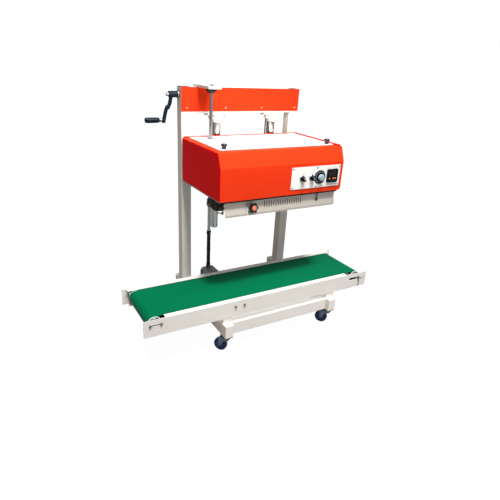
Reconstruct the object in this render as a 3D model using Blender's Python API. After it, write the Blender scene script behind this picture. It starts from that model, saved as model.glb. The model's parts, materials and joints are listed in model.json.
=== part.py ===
"""A vertical continuous band sealer: castored stand, crank-lifted sealing head and belt conveyor.

Metres, +Z up. X runs along the conveyor, from the infeed end to the outfeed end, -Y is the
operator's side, and the origin is on the floor under the middle of the conveyor's length and of
the base's depth. The sealing head is modelled at a mid height on its guide columns.
"""

import math

import bmesh
import bpy
from mathutils import Matrix, Vector

# Gap kept between pieces that touch.
GAP = 0.0003
# Rollers, wheels and the loops round them are 20-sided, so a wheel needs this room to turn in its loop.
TURN_ROOM = 0.0006

# Stand.
STAND_X = 0.088
STAND_HALF = 0.383
POST = 0.060
POST_Y = 0.258
POST_WALL = 0.003
STAND_TOP = 1.327
BEAM_BOTTOM = 1.193
BASE_HALF_DEPTH = 0.358
LEG_WIDTH = 0.046
LEG_LOW = 0.1003
LEG_TOP = 0.174
TUBE_WALL = 0.0025
END_BLOCK = 0.067
CROSS_TUBE_Y = -0.326

# Castors.
CASTOR_Y = 0.325
CASTOR_TRAIL = 0.035
CASTOR_ANGLE = math.radians(125)
WHEEL_R = 0.0375
WHEEL_WIDTH = 0.024
CASTOR_AXLE_R = 0.005

# Head lift: two columns, two lead screws and the crank's cross shaft share one plane, y = POST_Y.
COLUMN_X = (-0.067, 0.3025)
COLUMN_R = 0.0225
COLUMN_LOW = (0.508, 0.565)
SCREW_OFFSET = -0.0345
SCREW_R = 0.009
SHAFT_Z = 1.287
SHAFT_R = 0.009
MITRE_R = 0.020

# Spindle that carries the drive from the head down to the conveyor.
SPINDLE_X = -0.165
SPINDLE_Y = 0.129
SPINDLE_R = 0.009
JOINT_Z = (0.528, 0.317)

# Conveyor.
RAIL_HALF = 0.725
RAIL_Z = (0.207, 0.3015)
RAIL_FLANGE_X = (-0.610, 0.566)
RAIL_WIDTH = 0.032
RAIL_SHEET = 0.003
RAIL_FRONT_Y = -0.322
RAIL_REAR_Y = 0.048
BELT_Y = (-0.2865, 0.0125)
BELT_THICK = 0.0017
BELT_R = 0.040
ROLLER_X = 0.657
ROLLER_Z = 0.2585
ROLLER_R = BELT_R - BELT_THICK - TURN_ROOM
AXLE_R = 0.008
DRIVE_X = -0.187
SLOT_Z = 0.266

# Sealing head casing, a side profile in y and z.
HEAD_X = (-0.295, 0.471)
HEAD_BACK = 0.215
HEAD_FRONT = -0.252
HEAD_TOP_FRONT = -0.222
HEAD_LOW = 0.833
HEAD_CREASE = 0.995
HEAD_TOP = 1.068
SHEET = 0.0025
PANEL_X = (0.123, 0.449)
PANEL_Z = (0.860, 0.9775)
CONTROL_Z = 0.917
SWITCH_X = (0.193, 0.255)
DIAL_X = 0.310
CONTROLLER_X = 0.3925
CONTROLLER_SIDE = 0.072
PLATE_Z = (0.8265, HEAD_LOW - GAP)

# Band line under the head: the film passes between the two bands, in the plane y = FILM_Y.
FILM_Y = -0.130
FILM_GAP = 0.002
BAND_THICK = 0.0012
BAND_WHEEL_R = 0.030
BAND_WHEEL_X = (-0.2555, 0.428)
BAND_Z = (0.774, 0.790)
PRESS_X = 0.300
WHEEL_OFFSET = FILM_GAP / 2 + BAND_THICK + TURN_ROOM + BAND_WHEEL_R
GUARD_Y = -0.234
GUARD_SHEET = 0.0015
GUARD_X = (-0.256, -0.127, -0.124, 0.445)
STAR_X = -0.101
STAR_Z = 0.788
LEVER_X = 0.319
LEVER_Z = 0.8205


# ---------------------------------------------------------------- colours and materials


def srgb(*levels):
    """Linear colour of an 8-bit display colour."""
    linear = []
    for level in levels:
        part = level / 255
        linear.append(part / 12.92 if part <= 0.04045 else ((part + 0.055) / 1.055) ** 2.4)
    return (*linear, 1.0)


def finish(name, colour, roughness, metallic=0.0):
    material = bpy.data.materials.new(name)
    material.use_nodes = True
    shader = material.node_tree.nodes["Principled BSDF"]
    shader.inputs["Base Color"].default_value = colour
    shader.inputs["Roughness"].default_value = roughness
    shader.inputs["Metallic"].default_value = metallic
    material.diffuse_color = colour
    return material


def make_finishes():
    return {
        "cream": finish("cream_paint", srgb(244, 244, 238), 0.35),
        "red": finish("red_paint", srgb(235, 62, 32), 0.32),
        "lid": finish("lid_paint", srgb(246, 246, 242), 0.35),
        "panel": finish("panel_white", srgb(235, 235, 230), 0.4),
        "chrome": finish("chrome", srgb(200, 200, 205), 0.12, 1.0),
        "steel": finish("zinc_steel", srgb(150, 158, 165), 0.35, 1.0),
        "aluminium": finish("brushed_aluminium", srgb(205, 202, 194), 0.35, 1.0),
        "cast": finish("grey_casting", srgb(112, 112, 108), 0.55, 0.3),
        "crank": finish("crank_black", srgb(24, 40, 48), 0.3),
        "black": finish("black_plastic", srgb(28, 28, 32), 0.4),
        "bearing": finish("bearing_black", srgb(35, 35, 40), 0.45, 0.4),
        "belt": finish("green_belt", srgb(0, 128, 84), 0.5),
        "blue": finish("castor_blue", srgb(0, 45, 115), 0.45),
        "rubber": finish("black_rubber", srgb(26, 26, 28), 0.8),
        "band": finish("sealing_band", srgb(150, 105, 60), 0.5),
        "brass": finish("heater_brass", srgb(190, 150, 80), 0.35, 1.0),
        "knob": finish("speed_knob_grey", srgb(130, 150, 160), 0.45),
    }


# ---------------------------------------------------------------- shapes, as bmeshes in world space


def closed(shape):
    bmesh.ops.recalc_face_normals(shape, faces=shape.faces)
    return shape


def box(low, high):
    shape = bmesh.new()
    bmesh.ops.create_cube(shape, size=1.0)
    size = Vector(high) - Vector(low)
    middle = (Vector(high) + Vector(low)) / 2
    bmesh.ops.transform(
        shape, matrix=Matrix.Translation(middle) @ Matrix.Diagonal((*size, 1.0)), verts=shape.verts
    )
    return closed(shape)


def rod(start, end, radius, segments=20):
    """A plain cylinder between two points."""
    start, end = Vector(start), Vector(end)
    turn = (end - start).to_track_quat("Z", "Y").to_matrix().to_4x4()
    shape = bmesh.new()
    bmesh.ops.create_cone(
        shape,
        cap_ends=True,
        segments=segments,
        radius1=radius,
        radius2=radius,
        depth=(end - start).length,
        matrix=Matrix.Translation((start + end) / 2) @ turn,
    )
    return closed(shape)


def turned(profile, centre, axis=(0, 0, 1), segments=20):
    """A solid of revolution. The profile lists (radius, height) and closes on itself or on the axis."""
    shape = bmesh.new()
    rings = []
    for radius, height in profile:
        if radius == 0:
            rings.append([shape.verts.new((0, 0, height))])
            continue
        ring = []
        for step in range(segments):
            angle = 2 * math.pi * step / segments
            ring.append(shape.verts.new((radius * math.cos(angle), radius * math.sin(angle), height)))
        rings.append(ring)
    pairs = list(zip(rings, rings[1:]))
    if profile[0][0] != 0:
        pairs.append((rings[-1], rings[0]))
    for first, second in pairs:
        for step in range(segments):
            after = (step + 1) % segments
            corners = [first[step % len(first)], first[after % len(first)]]
            corners += [second[after % len(second)], second[step % len(second)]]
            face = list(dict.fromkeys(corners))
            if len(face) > 2:
                shape.faces.new(face)
    turn = Vector(axis).to_track_quat("Z", "Y").to_matrix().to_4x4()
    bmesh.ops.transform(shape, matrix=Matrix.Translation(centre) @ turn, verts=shape.verts)
    return closed(shape)


def prism(outline, axis, low, high):
    """A flat outline pushed along an axis: (y, z) points along X, (x, z) along Y, (x, y) along Z."""
    shape = bmesh.new()
    place = {
        "X": lambda a, b: (low, a, b),
        "Y": lambda a, b: (a, low, b),
        "Z": lambda a, b: (a, b, low),
    }[axis]
    push = {"X": (high - low, 0, 0), "Y": (0, high - low, 0), "Z": (0, 0, high - low)}[axis]
    face = shape.faces.new([shape.verts.new(place(a, b)) for a, b in outline])
    made = bmesh.ops.extrude_face_region(shape, geom=[face])
    moved = [item for item in made["geom"] if isinstance(item, bmesh.types.BMVert)]
    bmesh.ops.translate(shape, vec=push, verts=moved)
    return closed(shape)


def rounded(shape, width, chosen, segments=2):
    """Rounds the edges for which chosen(start, end) is true."""
    edges = [edge for edge in shape.edges if chosen(*(vert.co for vert in edge.verts))]
    bmesh.ops.bevel(
        shape, geom=edges, offset=width, segments=segments, profile=0.5, affect="EDGES"
    )
    return closed(shape)


def stadium(half_length, radius, steps=10):
    """Outline of a belt that runs round two wheels at -half_length and +half_length."""
    points = []
    for side in (1, -1):
        for step in range(steps + 1):
            angle = side * math.pi / 2 - math.pi * step / steps
            points.append((side * half_length + radius * math.cos(angle), radius * math.sin(angle)))
    return points


def shifted(points, across, up):
    return [(a + across, b + up) for a, b in points]


# ---------------------------------------------------------------- objects


def node_object(name, shape, material, origin):
    """A mesh object whose origin is at the given point; the shape is given in world space."""
    bmesh.ops.translate(shape, vec=-Vector(origin), verts=shape.verts)
    mesh = bpy.data.meshes.new(name)
    shape.to_mesh(mesh)
    shape.free()
    mesh.materials.append(material)
    mesh.shade_smooth()
    mesh.set_sharp_from_angle(angle=math.radians(35))
    made = bpy.data.objects.new(name, mesh)
    made.location = origin
    bpy.context.scene.collection.objects.link(made)
    return made


def tool_object(name, shape, target, material, operation):
    """Adds a Boolean to the target, with a hidden tool that follows it."""
    tool = node_object(name, shape, material, target.location)
    tool.parent = target
    tool.location = (0, 0, 0)
    tool.hide_render = True
    tool.display_type = "WIRE"
    boolean = target.modifiers.new(name, "BOOLEAN")
    boolean.operation = operation
    boolean.object = tool
    boolean.solver = "EXACT"


def build(name, material, adds, cuts=(), origin=(0, 0, 0)):
    """One node: the first shape, with the other adds joined to it and the cuts taken out."""
    made = node_object(name, adds[0], material, origin)
    for index, shape in enumerate(adds[1:]):
        tool_object(f"{name}_add_{index}", shape, made, material, "UNION")
    for index, shape in enumerate(cuts):
        tool_object(f"{name}_cut_{index}", shape, made, material, "DIFFERENCE")
    return made


# ---------------------------------------------------------------- stand


def post_centres():
    reach = STAND_HALF - POST / 2
    return (STAND_X - reach, STAND_X + reach)


def make_base(finishes):
    """Two hollow legs with end blocks, two cross tubes and the feet that carry the conveyor."""
    adds = []
    cuts = []
    for x in post_centres():
        legs = (x - LEG_WIDTH / 2, x + LEG_WIDTH / 2)
        adds.append(box((legs[0], -0.34, LEG_LOW), (legs[1], 0.34, LEG_TOP)))
        for side in (-1, 1):
            outer = side * BASE_HALF_DEPTH
            inner = side * (BASE_HALF_DEPTH - END_BLOCK)
            block = box(
                (x - 0.025, min(outer, inner), LEG_LOW - 0.0001),
                (x + 0.025, max(outer, inner), LEG_TOP + 0.004),
            )
            adds.append(block)
        for y in (RAIL_FRONT_Y + 0.016, RAIL_REAR_Y - 0.016):
            foot_top = RAIL_Z[0] - GAP
            adds.append(box((x - 0.022, y - 0.014, LEG_TOP - 0.002), (x + 0.034, y + 0.014, foot_top)))
    left, right = post_centres()
    low = LEG_LOW + TUBE_WALL
    high = LEG_TOP - TUBE_WALL
    for low_y in (CROSS_TUBE_Y, POST_Y - 0.025):
        adds.append(box((left, low_y, LEG_LOW + 0.0001), (right, low_y + 0.050, LEG_TOP - 0.0001)))
        cuts.append(box((left, low_y + TUBE_WALL, low), (right, low_y + 0.050 - TUBE_WALL, high)))
    for x in (left, right):
        half = LEG_WIDTH / 2 - TUBE_WALL
        cuts.append(box((x - half, -0.335, low - 0.0001), (x + half, 0.335, high + 0.0001)))
        cuts.append(rod((x, 0, LEG_LOW - 0.01), (x, 0, low + 0.01), 0.006, 12))
    return build("base_frame", finishes["cream"], adds, cuts)


def socket_shapes(x):
    """The plate and the collar, under the beam, that hold one guide column and one screw top."""
    screw_x = x + SCREW_OFFSET
    plate = box((screw_x - 0.035, POST_Y - 0.027, BEAM_BOTTOM - 0.012), (x + 0.045, POST_Y + 0.027, 1.2))
    collar = rod((x, POST_Y, 1.141), (x, POST_Y, 1.186), COLUMN_R + 0.009)
    screw_collar = rod((screw_x, POST_Y, 1.158), (screw_x, POST_Y, 1.186), 0.016)
    return [plate, collar, screw_collar]


def make_mast(finishes):
    """The welded upper frame: two posts, the channel beam and the column sockets under it."""
    left, right = post_centres()
    half = POST / 2
    adds = []
    for x in (left, right):
        post = box((x - half, POST_Y - half, LEG_TOP + 0.0043), (x + half, POST_Y + half, STAND_TOP))
        adds.append(rounded(post, 0.004, lambda a, b: abs(a.z - b.z) > 0.5, 1))
    beam_low = (left, POST_Y - half + 0.001, BEAM_BOTTOM)
    adds.append(box(beam_low, (right, POST_Y + half - 0.002, STAND_TOP - 0.0004)))
    cuts = []
    for x in (left, right):
        inside = half - POST_WALL
        cuts.append(
            box((x - inside, POST_Y - inside, 0.170), (x + inside, POST_Y + inside, STAND_TOP - POST_WALL))
        )
    beam_inside = (left + half + 0.003, right - half - 0.003)
    cuts.append(
        box(
            (beam_inside[0], POST_Y - half - 0.01, BEAM_BOTTOM + 0.004),
            (beam_inside[1], POST_Y + half - 0.006, STAND_TOP - 0.005),
        )
    )
    for x in COLUMN_X:
        screw_x = x + SCREW_OFFSET
        adds += socket_shapes(x)
        cuts.append(rod((x, POST_Y, 1.130), (x, POST_Y, 1.1905), COLUMN_R + GAP, 32))
        cuts.append(rod((screw_x, POST_Y, 1.130), (screw_x, POST_Y, 1.21), SCREW_R + 2 * GAP))
    reach = (left - half - 0.01, left + half + 0.02)
    cuts.append(rod((reach[0], POST_Y, SHAFT_Z), (reach[1], POST_Y, SHAFT_Z), SHAFT_R + 2 * GAP))
    return build("mast_frame", finishes["cream"], adds, cuts)


def make_beam_cover(finishes):
    """The folded red cover over the front of the beam and of the two posts."""
    low_x = STAND_X - STAND_HALF
    high_x = STAND_X + STAND_HALF
    back = POST_Y - POST / 2 - GAP
    sheet = box((low_x, back - 0.0027, 1.203), (high_x, back, STAND_TOP))
    sheet = rounded(sheet, 0.0015, lambda a, b: a.y < back - 0.001 and b.y < back - 0.001, 1)
    return build("beam_cover", finishes["red"], [sheet])


def make_columns(finishes):
    for side, x, low in zip(("left", "right"), COLUMN_X, COLUMN_LOW):
        profile = [(0, low), (COLUMN_R - 0.003, low), (COLUMN_R, low + 0.003)]
        profile += [(COLUMN_R, 1.190), (0, 1.190)]
        build(f"guide_column_{side}", finishes["chrome"], [turned(profile, (x, POST_Y, 0), segments=32)])


def make_spindle_support(finishes):
    """The plate that reaches forward from the beam's top, and the flanged bearing under it."""
    low = (SPINDLE_X - 0.038, 0.082, STAND_TOP + GAP)
    high = (SPINDLE_X + 0.038, 0.286, STAND_TOP + 0.0135)
    plate = rounded(box(low, high), 0.003, lambda a, b: abs(a.z - b.z) > 0.01, 1)
    hole = rod((SPINDLE_X, SPINDLE_Y, 1.32), (SPINDLE_X, SPINDLE_Y, 1.35), 0.014)
    build("spindle_bracket", finishes["cream"], [plate], [hole])
    inner = SPINDLE_R + GAP
    profile = [(inner, 1.306), (0.020, 1.306), (0.022, 1.311), (0.030, 1.3165)]
    profile += [(0.0305, STAND_TOP), (inner, STAND_TOP)]
    build("spindle_bearing", finishes["bearing"], [turned(profile, (SPINDLE_X, SPINDLE_Y, 0))])


# ---------------------------------------------------------------- castors


def castor_pivots():
    """Name, swivel axis and resting direction of the four castors, mirrored front to back."""
    left, right = post_centres()
    return [
        ("front_left", left, -CASTOR_Y, CASTOR_ANGLE),
        ("front_right", right, -CASTOR_Y, CASTOR_ANGLE),
        ("rear_left", left, CASTOR_Y, -CASTOR_ANGLE),
        ("rear_right", right, CASTOR_Y, -CASTOR_ANGLE),
    ]


def castor_fork_shapes():
    """Fork with its king pin on the Z axis and its axle at x = CASTOR_TRAIL, before it is turned."""
    inner = WHEEL_WIDTH / 2 + 0.0015
    crown = box((-0.020, -inner - 0.002, 0.080), (0.043, inner + 0.002, 0.0845))
    pin = rod((0, 0, 0.083), (0, 0, 0.0965), 0.019)
    shapes = [crown, pin]
    outline = [(-0.018, 0.083), (-0.018, 0.078), (0.016, 0.064), (CASTOR_TRAIL - 0.009, 0.030)]
    outline += [(CASTOR_TRAIL + 0.009, 0.030), (0.041, 0.083)]
    for low in (-inner - 0.0025, inner):
        shapes.append(prism(outline, "Y", low, low + 0.0025))
    axle_end = inner + 0.006
    axle = rod((CASTOR_TRAIL, -axle_end, WHEEL_R), (CASTOR_TRAIL, axle_end, WHEEL_R), CASTOR_AXLE_R, 12)
    shapes.append(axle)
    return shapes


def castor_wheel_shape():
    """Wheel about the Y axis through x = CASTOR_TRAIL, with a bore for the fork's axle."""
    half = WHEEL_WIDTH / 2
    bore = CASTOR_AXLE_R + GAP
    profile = [(bore, -half), (0.012, -half), (0.014, -half + 0.004), (0.029, -half + 0.004)]
    profile += [(0.032, -half), (WHEEL_R - 0.002, -half), (WHEEL_R, -half + 0.003)]
    mirrored = [(radius, -height) for radius, height in reversed(profile)]
    return turned(profile + mirrored, (CASTOR_TRAIL, 0, WHEEL_R), (0, 1, 0))


def make_castors(finishes):
    for name, x, y, angle in castor_pivots():
        fork = build(f"castor_fork_{name}", finishes["steel"], castor_fork_shapes())
        fork.location = (x, y, 0)
        fork.rotation_euler = (0, 0, angle)
        hub = (CASTOR_TRAIL, 0, WHEEL_R)
        wheel = build(f"castor_wheel_{name}", finishes["blue"], [castor_wheel_shape()], origin=hub)
        wheel.parent = fork


# ---------------------------------------------------------------- head lift


def make_crank(finishes):
    """Hub and cranked arm on the cross shaft's left end, and the revolving grip on its pin."""
    y = POST_Y
    hub = rod((-0.353, y, SHAFT_Z), (-0.307, y, SHAFT_Z), 0.0165)
    cap = rod((-0.366, y, SHAFT_Z), (-0.352, y, SHAFT_Z), 0.009)
    upper = prism(
        [(-0.354, 1.280), (-0.340, 1.280), (-0.352, 1.222), (-0.368, 1.222)], "Y", y - 0.010, y + 0.010
    )
    lower = prism(
        [(-0.371, 1.226), (-0.356, 1.226), (-0.380, 1.142), (-0.394, 1.142)], "Y", y - 0.0095, y + 0.0095
    )
    pin = rod((-0.478, y, 1.156), (-0.385, y, 1.156), 0.005, 16)
    bore = rod((-0.345, y, SHAFT_Z), (-0.30, y, SHAFT_Z), SHAFT_R + GAP)
    build("crank_arm", finishes["crank"], [hub, cap, upper, lower, pin], [bore], (-0.330, y, SHAFT_Z))
    inner = 0.005 + GAP
    profile = [(inner, -0.487), (0.011, -0.487), (0.014, -0.483), (0.0145, -0.45), (0.014, -0.413)]
    profile += [(0.012, -0.409), (0.0095, -0.409), (0.0095, -0.3963), (inner, -0.3963)]
    grip = turned(profile, (0, y, 1.156), (1, 0, 0), 20)
    build("crank_grip", finishes["crank"], [grip], (), (-0.44, y, 1.156))


def mitre_profile(side, inner):
    """One mitre gear as a plain cone: teeth end at MITRE_R, with a hub behind them."""
    top = MITRE_R - 0.0006
    return [
        (inner, side * 0.012),
        (top - 0.008, side * 0.012),
        (top, side * MITRE_R),
        (0.014, side * (MITRE_R + 0.003)),
        (0.014, side * (MITRE_R + 0.009)),
        (inner, side * (MITRE_R + 0.009)),
    ]


def make_lift_drive(finishes):
    """The cross shaft with a mitre gear at each screw, and the two lead screws under it."""
    end_x = COLUMN_X[1] + SCREW_OFFSET + MITRE_R + 0.012
    adds = [rod((-0.344, POST_Y, SHAFT_Z), (end_x, POST_Y, SHAFT_Z), SHAFT_R)]
    for x in COLUMN_X:
        centre = (x + SCREW_OFFSET, POST_Y, SHAFT_Z)
        adds.append(turned(mitre_profile(1, SHAFT_R - 0.002), centre, (1, 0, 0)))
    build("cross_shaft", finishes["steel"], adds, (), (0, POST_Y, SHAFT_Z))
    for side, x in zip(("left", "right"), COLUMN_X):
        screw_x = x + SCREW_OFFSET
        centre = (screw_x, POST_Y, SHAFT_Z)
        adds = [rod((screw_x, POST_Y, 0.700), (screw_x, POST_Y, SHAFT_Z - 0.014), SCREW_R)]
        adds.append(turned(mitre_profile(-1, SCREW_R - 0.002), centre))
        adds.append(rod((screw_x, POST_Y, 1.198), (screw_x, POST_Y, 1.2035), 0.014))
        build(f"lead_screw_{side}", finishes["steel"], adds, (), (screw_x, POST_Y, 1.0))


# ---------------------------------------------------------------- spindle


def universal_joint(z):
    """Two knuckles and a cross block on the spindle's axis."""
    shapes = [rod((SPINDLE_X, SPINDLE_Y, z - 0.012), (SPINDLE_X, SPINDLE_Y, z + 0.012), 0.0125, 16)]
    shapes.append(rod((SPINDLE_X - 0.0145, SPINDLE_Y, z), (SPINDLE_X + 0.0145, SPINDLE_Y, z), 0.004, 10))
    shapes.append(rod((SPINDLE_X, SPINDLE_Y - 0.0145, z), (SPINDLE_X, SPINDLE_Y + 0.0145, z), 0.004, 10))
    return shapes


def make_spindle(finishes):
    upper, lower = JOINT_Z
    low_end = (SPINDLE_X, SPINDLE_Y, upper + 0.0123)
    rod_shape = rod(low_end, (SPINDLE_X, SPINDLE_Y, STAND_TOP + 0.020), SPINDLE_R)
    nut_low = STAND_TOP + 0.0135 + GAP
    nut = rod((SPINDLE_X, SPINDLE_Y, nut_low), (SPINDLE_X, SPINDLE_Y, nut_low + 0.007), 0.0125, 16)
    build("spindle", finishes["chrome"], [rod_shape, nut], (), (SPINDLE_X, SPINDLE_Y, 0.9))
    adds = [rod((SPINDLE_X, SPINDLE_Y, lower), (SPINDLE_X, SPINDLE_Y, upper), 0.011)]
    adds += universal_joint(upper - 0.0003)
    adds += universal_joint(lower)
    adds.append(rod((SPINDLE_X, SPINDLE_Y, 0.272), (SPINDLE_X, SPINDLE_Y, lower), 0.0085))
    build("drive_sleeve", finishes["black"], adds, (), (SPINDLE_X, SPINDLE_Y, 0.42))


def make_gearbox(finishes):
    """Worm gearbox behind the conveyor: spindle in at the top, roller shaft out at the front."""
    outline = [(-0.209, 0.212), (-0.209, 0.250), (-0.193, 0.264), (-0.193, 0.291), (-0.184, 0.300)]
    outline += [(-0.146, 0.300), (-0.137, 0.291), (-0.137, 0.264), (-0.121, 0.250), (-0.121, 0.212)]
    body = rounded(prism(outline, "Y", 0.064, 0.158), 0.003, lambda a, b: True, 1)
    neck = rod((DRIVE_X, RAIL_REAR_Y + 0.001, ROLLER_Z), (DRIVE_X, 0.068, ROLLER_Z), 0.021)
    collar = rod((SPINDLE_X, SPINDLE_Y, 0.295), (SPINDLE_X, SPINDLE_Y, 0.3035), 0.017)
    cuts = [rod((SPINDLE_X, SPINDLE_Y, 0.268), (SPINDLE_X, SPINDLE_Y, 0.31), 0.0085 + GAP)]
    cuts.append(rod((DRIVE_X, 0.04, ROLLER_Z), (DRIVE_X, 0.122, ROLLER_Z), AXLE_R + GAP, 20))
    return build("conveyor_gearbox", finishes["cast"], [body, neck, collar], cuts)


# ---------------------------------------------------------------- conveyor


def rail_web_outline():
    """The upright part in (x, z), with its four corners cut back."""
    low, high = RAIL_Z
    cut = 0.006
    end = RAIL_HALF
    return [
        (-end, low + cut),
        (-end + cut, low),
        (end - cut, low),
        (end, low + cut),
        (end, high - cut),
        (end - cut, high),
        (-end + cut, high),
        (-end, high - cut),
    ]


def bearing_shapes(x, outer, side):
    """A bearing block on the web's inner face, and the blind bore that holds a roller journal."""
    web = outer + side * (RAIL_SHEET - 0.001)
    face = outer + side * 0.016
    block_y = sorted((web, face))
    block = box((x - 0.024, block_y[0], ROLLER_Z - 0.020), (x + 0.024, block_y[1], ROLLER_Z + 0.020))
    bore = rod((x, outer + side * 0.0045, ROLLER_Z), (x, face + side * 0.01, ROLLER_Z), AXLE_R + GAP, 20)
    return block, bore


def make_rail(name, outer, side, finishes):
    """A channel rail: web outside, flanges inwards, bearing blocks inside and adjusting slots."""
    web_y = sorted((outer, outer + side * RAIL_SHEET))
    lip_y = sorted((outer + side * 0.001, outer + side * RAIL_WIDTH))
    low, high = RAIL_Z
    adds = [prism(rail_web_outline(), "Y", *web_y)]
    flange_low = (RAIL_FLANGE_X[0], lip_y[0], high - RAIL_SHEET)
    adds.append(box(flange_low, (RAIL_FLANGE_X[1], lip_y[1], high - 0.0001)))
    adds.append(box((-0.700, lip_y[0], low + 0.0001), (0.700, lip_y[1], low + RAIL_SHEET)))
    cuts = []
    for x in (-ROLLER_X, ROLLER_X):
        block, bore = bearing_shapes(x, outer, side)
        adds.append(block)
        cuts.append(bore)
    slot_y = sorted((outer - side * 0.01, outer + side * 0.0015))
    for slot_x, half in ((-0.6635, 0.0285), (0.6165, 0.0255)):
        cuts.append(prism(shifted(stadium(half, 0.003, 4), slot_x, SLOT_Z), "Y", *slot_y))
    if side > 0:
        block, bore = bearing_shapes(DRIVE_X, outer, side)
        adds.append(block)
        cuts.append(bore)
    else:
        through = sorted((outer - side * 0.01, outer + side * 0.01))
        cuts.append(rod((DRIVE_X, through[0], ROLLER_Z), (DRIVE_X, through[1], ROLLER_Z), 0.018, 20))
    return build(name, finishes["cream"], adds, cuts)


def make_bed(finishes):
    """The slider plate under the belt's top run, open over the drive roller."""
    low_y = RAIL_FRONT_Y + RAIL_SHEET + GAP
    high_y = RAIL_REAR_Y - RAIL_SHEET - GAP
    top = ROLLER_Z + ROLLER_R
    plate = box((-0.600, low_y, top - 0.004), (0.600, high_y, top))
    side_low = box((-0.599, low_y + 0.0001, top - 0.030), (0.599, low_y + 0.003, top - 0.002))
    side_high = box((-0.599, high_y - 0.003, top - 0.030), (0.599, high_y - 0.0001, top - 0.002))
    window = box(
        (DRIVE_X - 0.041, BELT_Y[0] - 0.014, top - 0.01), (DRIVE_X + 0.041, BELT_Y[1] + 0.014, top + 0.01)
    )
    gaps = []
    for side_y in (low_y, high_y):
        gaps.append(
            box((DRIVE_X - 0.026, side_y - 0.01, top - 0.05), (DRIVE_X + 0.026, side_y + 0.01, top - 0.014))
        )
    return build("conveyor_bed", finishes["steel"], [plate, side_low, side_high], [window, *gaps])


def make_belt(finishes):
    outer = prism(shifted(stadium(ROLLER_X, BELT_R), 0, ROLLER_Z), "Y", *BELT_Y)
    inside = shifted(stadium(ROLLER_X, BELT_R - BELT_THICK), 0, ROLLER_Z)
    inner = prism(inside, "Y", BELT_Y[0] - 0.01, BELT_Y[1] + 0.01)
    return build("conveyor_belt", finishes["belt"], [outer], [inner])


def roller_profile(low_end, high_end):
    """A tube wider than the belt, closed a little inside each end, with a journal, as (radius, y)."""
    low, high = BELT_Y
    wall = ROLLER_R - 0.0045
    return [
        (0, low_end),
        (AXLE_R, low_end),
        (AXLE_R, low - 0.002),
        (wall, low - 0.002),
        (wall, low - 0.012),
        (ROLLER_R, low - 0.012),
        (ROLLER_R, high + 0.012),
        (wall, high + 0.012),
        (wall, high + 0.002),
        (AXLE_R, high + 0.002),
        (AXLE_R, high_end),
        (0, high_end),
    ]


def make_rollers(finishes):
    ends = (RAIL_FRONT_Y + 0.006, RAIL_REAR_Y - 0.006)
    for side, x in (("infeed", -ROLLER_X), ("outfeed", ROLLER_X)):
        shape = turned(roller_profile(*ends), (x, 0, ROLLER_Z), (0, 1, 0))
        build(f"end_roller_{side}", finishes["aluminium"], [shape], (), (x, -0.137, ROLLER_Z))
    shape = turned(roller_profile(ends[0], 0.120), (DRIVE_X, 0, ROLLER_Z), (0, 1, 0))
    build("drive_roller", finishes["aluminium"], [shape], (), (DRIVE_X, -0.137, ROLLER_Z))


# ---------------------------------------------------------------- sealing head


def head_outline(inset, low):
    """Side profile of the casing in (y, z), inset by a sheet's thickness."""
    slope = (HEAD_TOP_FRONT - HEAD_FRONT) / (HEAD_TOP - HEAD_CREASE)
    front = HEAD_FRONT + inset
    top = HEAD_TOP - inset
    crease = HEAD_CREASE - inset * slope / 2
    return [
        (HEAD_BACK - inset, low),
        (HEAD_BACK - inset, top),
        (front + slope * (top - crease), top),
        (front, crease),
        (front, low),
    ]


def make_casing(finishes):
    """The folded red casing: open below, with openings for the lid, the panel and the spindle."""
    shell = prism(head_outline(0, HEAD_LOW), "X", *HEAD_X)
    above = lambda a, b: max(a.z, b.z) > HEAD_LOW + 0.001
    shell = rounded(shell, 0.007, above, 2)
    inside = prism(head_outline(SHEET, HEAD_LOW - 0.01), "X", HEAD_X[0] + SHEET, HEAD_X[1] - SHEET)
    inside = rounded(inside, 0.0045, above, 1)
    opening = box((-0.238, -0.150, HEAD_TOP - 0.02), (0.430, 0.190, HEAD_TOP + 0.02))
    window = box((0.150, HEAD_FRONT - 0.01, 0.872), (0.435, HEAD_FRONT + 0.01, 0.965))
    return build("head_casing", finishes["red"], [shell], [inside, opening, window])


def make_lid(finishes):
    """The white top lid, which lifts up along the spindle; a ring lines its spindle hole."""
    low_z = HEAD_TOP + GAP
    sheet = box((-0.258, -0.173, low_z), (0.450, 0.209, low_z + 0.0025))
    sheet = rounded(sheet, 0.006, lambda a, b: abs(a.z - b.z) > 0.001, 2)
    ring = rod((SPINDLE_X, SPINDLE_Y, low_z + 0.001), (SPINDLE_X, SPINDLE_Y, low_z + 0.007), 0.015)
    hole_low = (SPINDLE_X, SPINDLE_Y, low_z - 0.01)
    hole = rod(hole_low, (SPINDLE_X, SPINDLE_Y, low_z + 0.02), SPINDLE_R + 2 * GAP)
    build("head_lid", finishes["lid"], [sheet, ring], [hole], (SPINDLE_X, SPINDLE_Y, low_z))
    knob_low = low_z + 0.0025 + GAP
    for side, x in (("left", -0.226), ("right", 0.416)):
        profile = [(0, 0), (0.0075, 0), (0.0065, 0.013), (0.0155, 0.015), (0.0165, 0.020)]
        profile += [(0.013, 0.0255), (0, 0.027)]
        foot = (x, -0.150, knob_low)
        build(f"lid_knob_{side}", finishes["black"], [turned(profile, foot)], (), foot)


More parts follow.
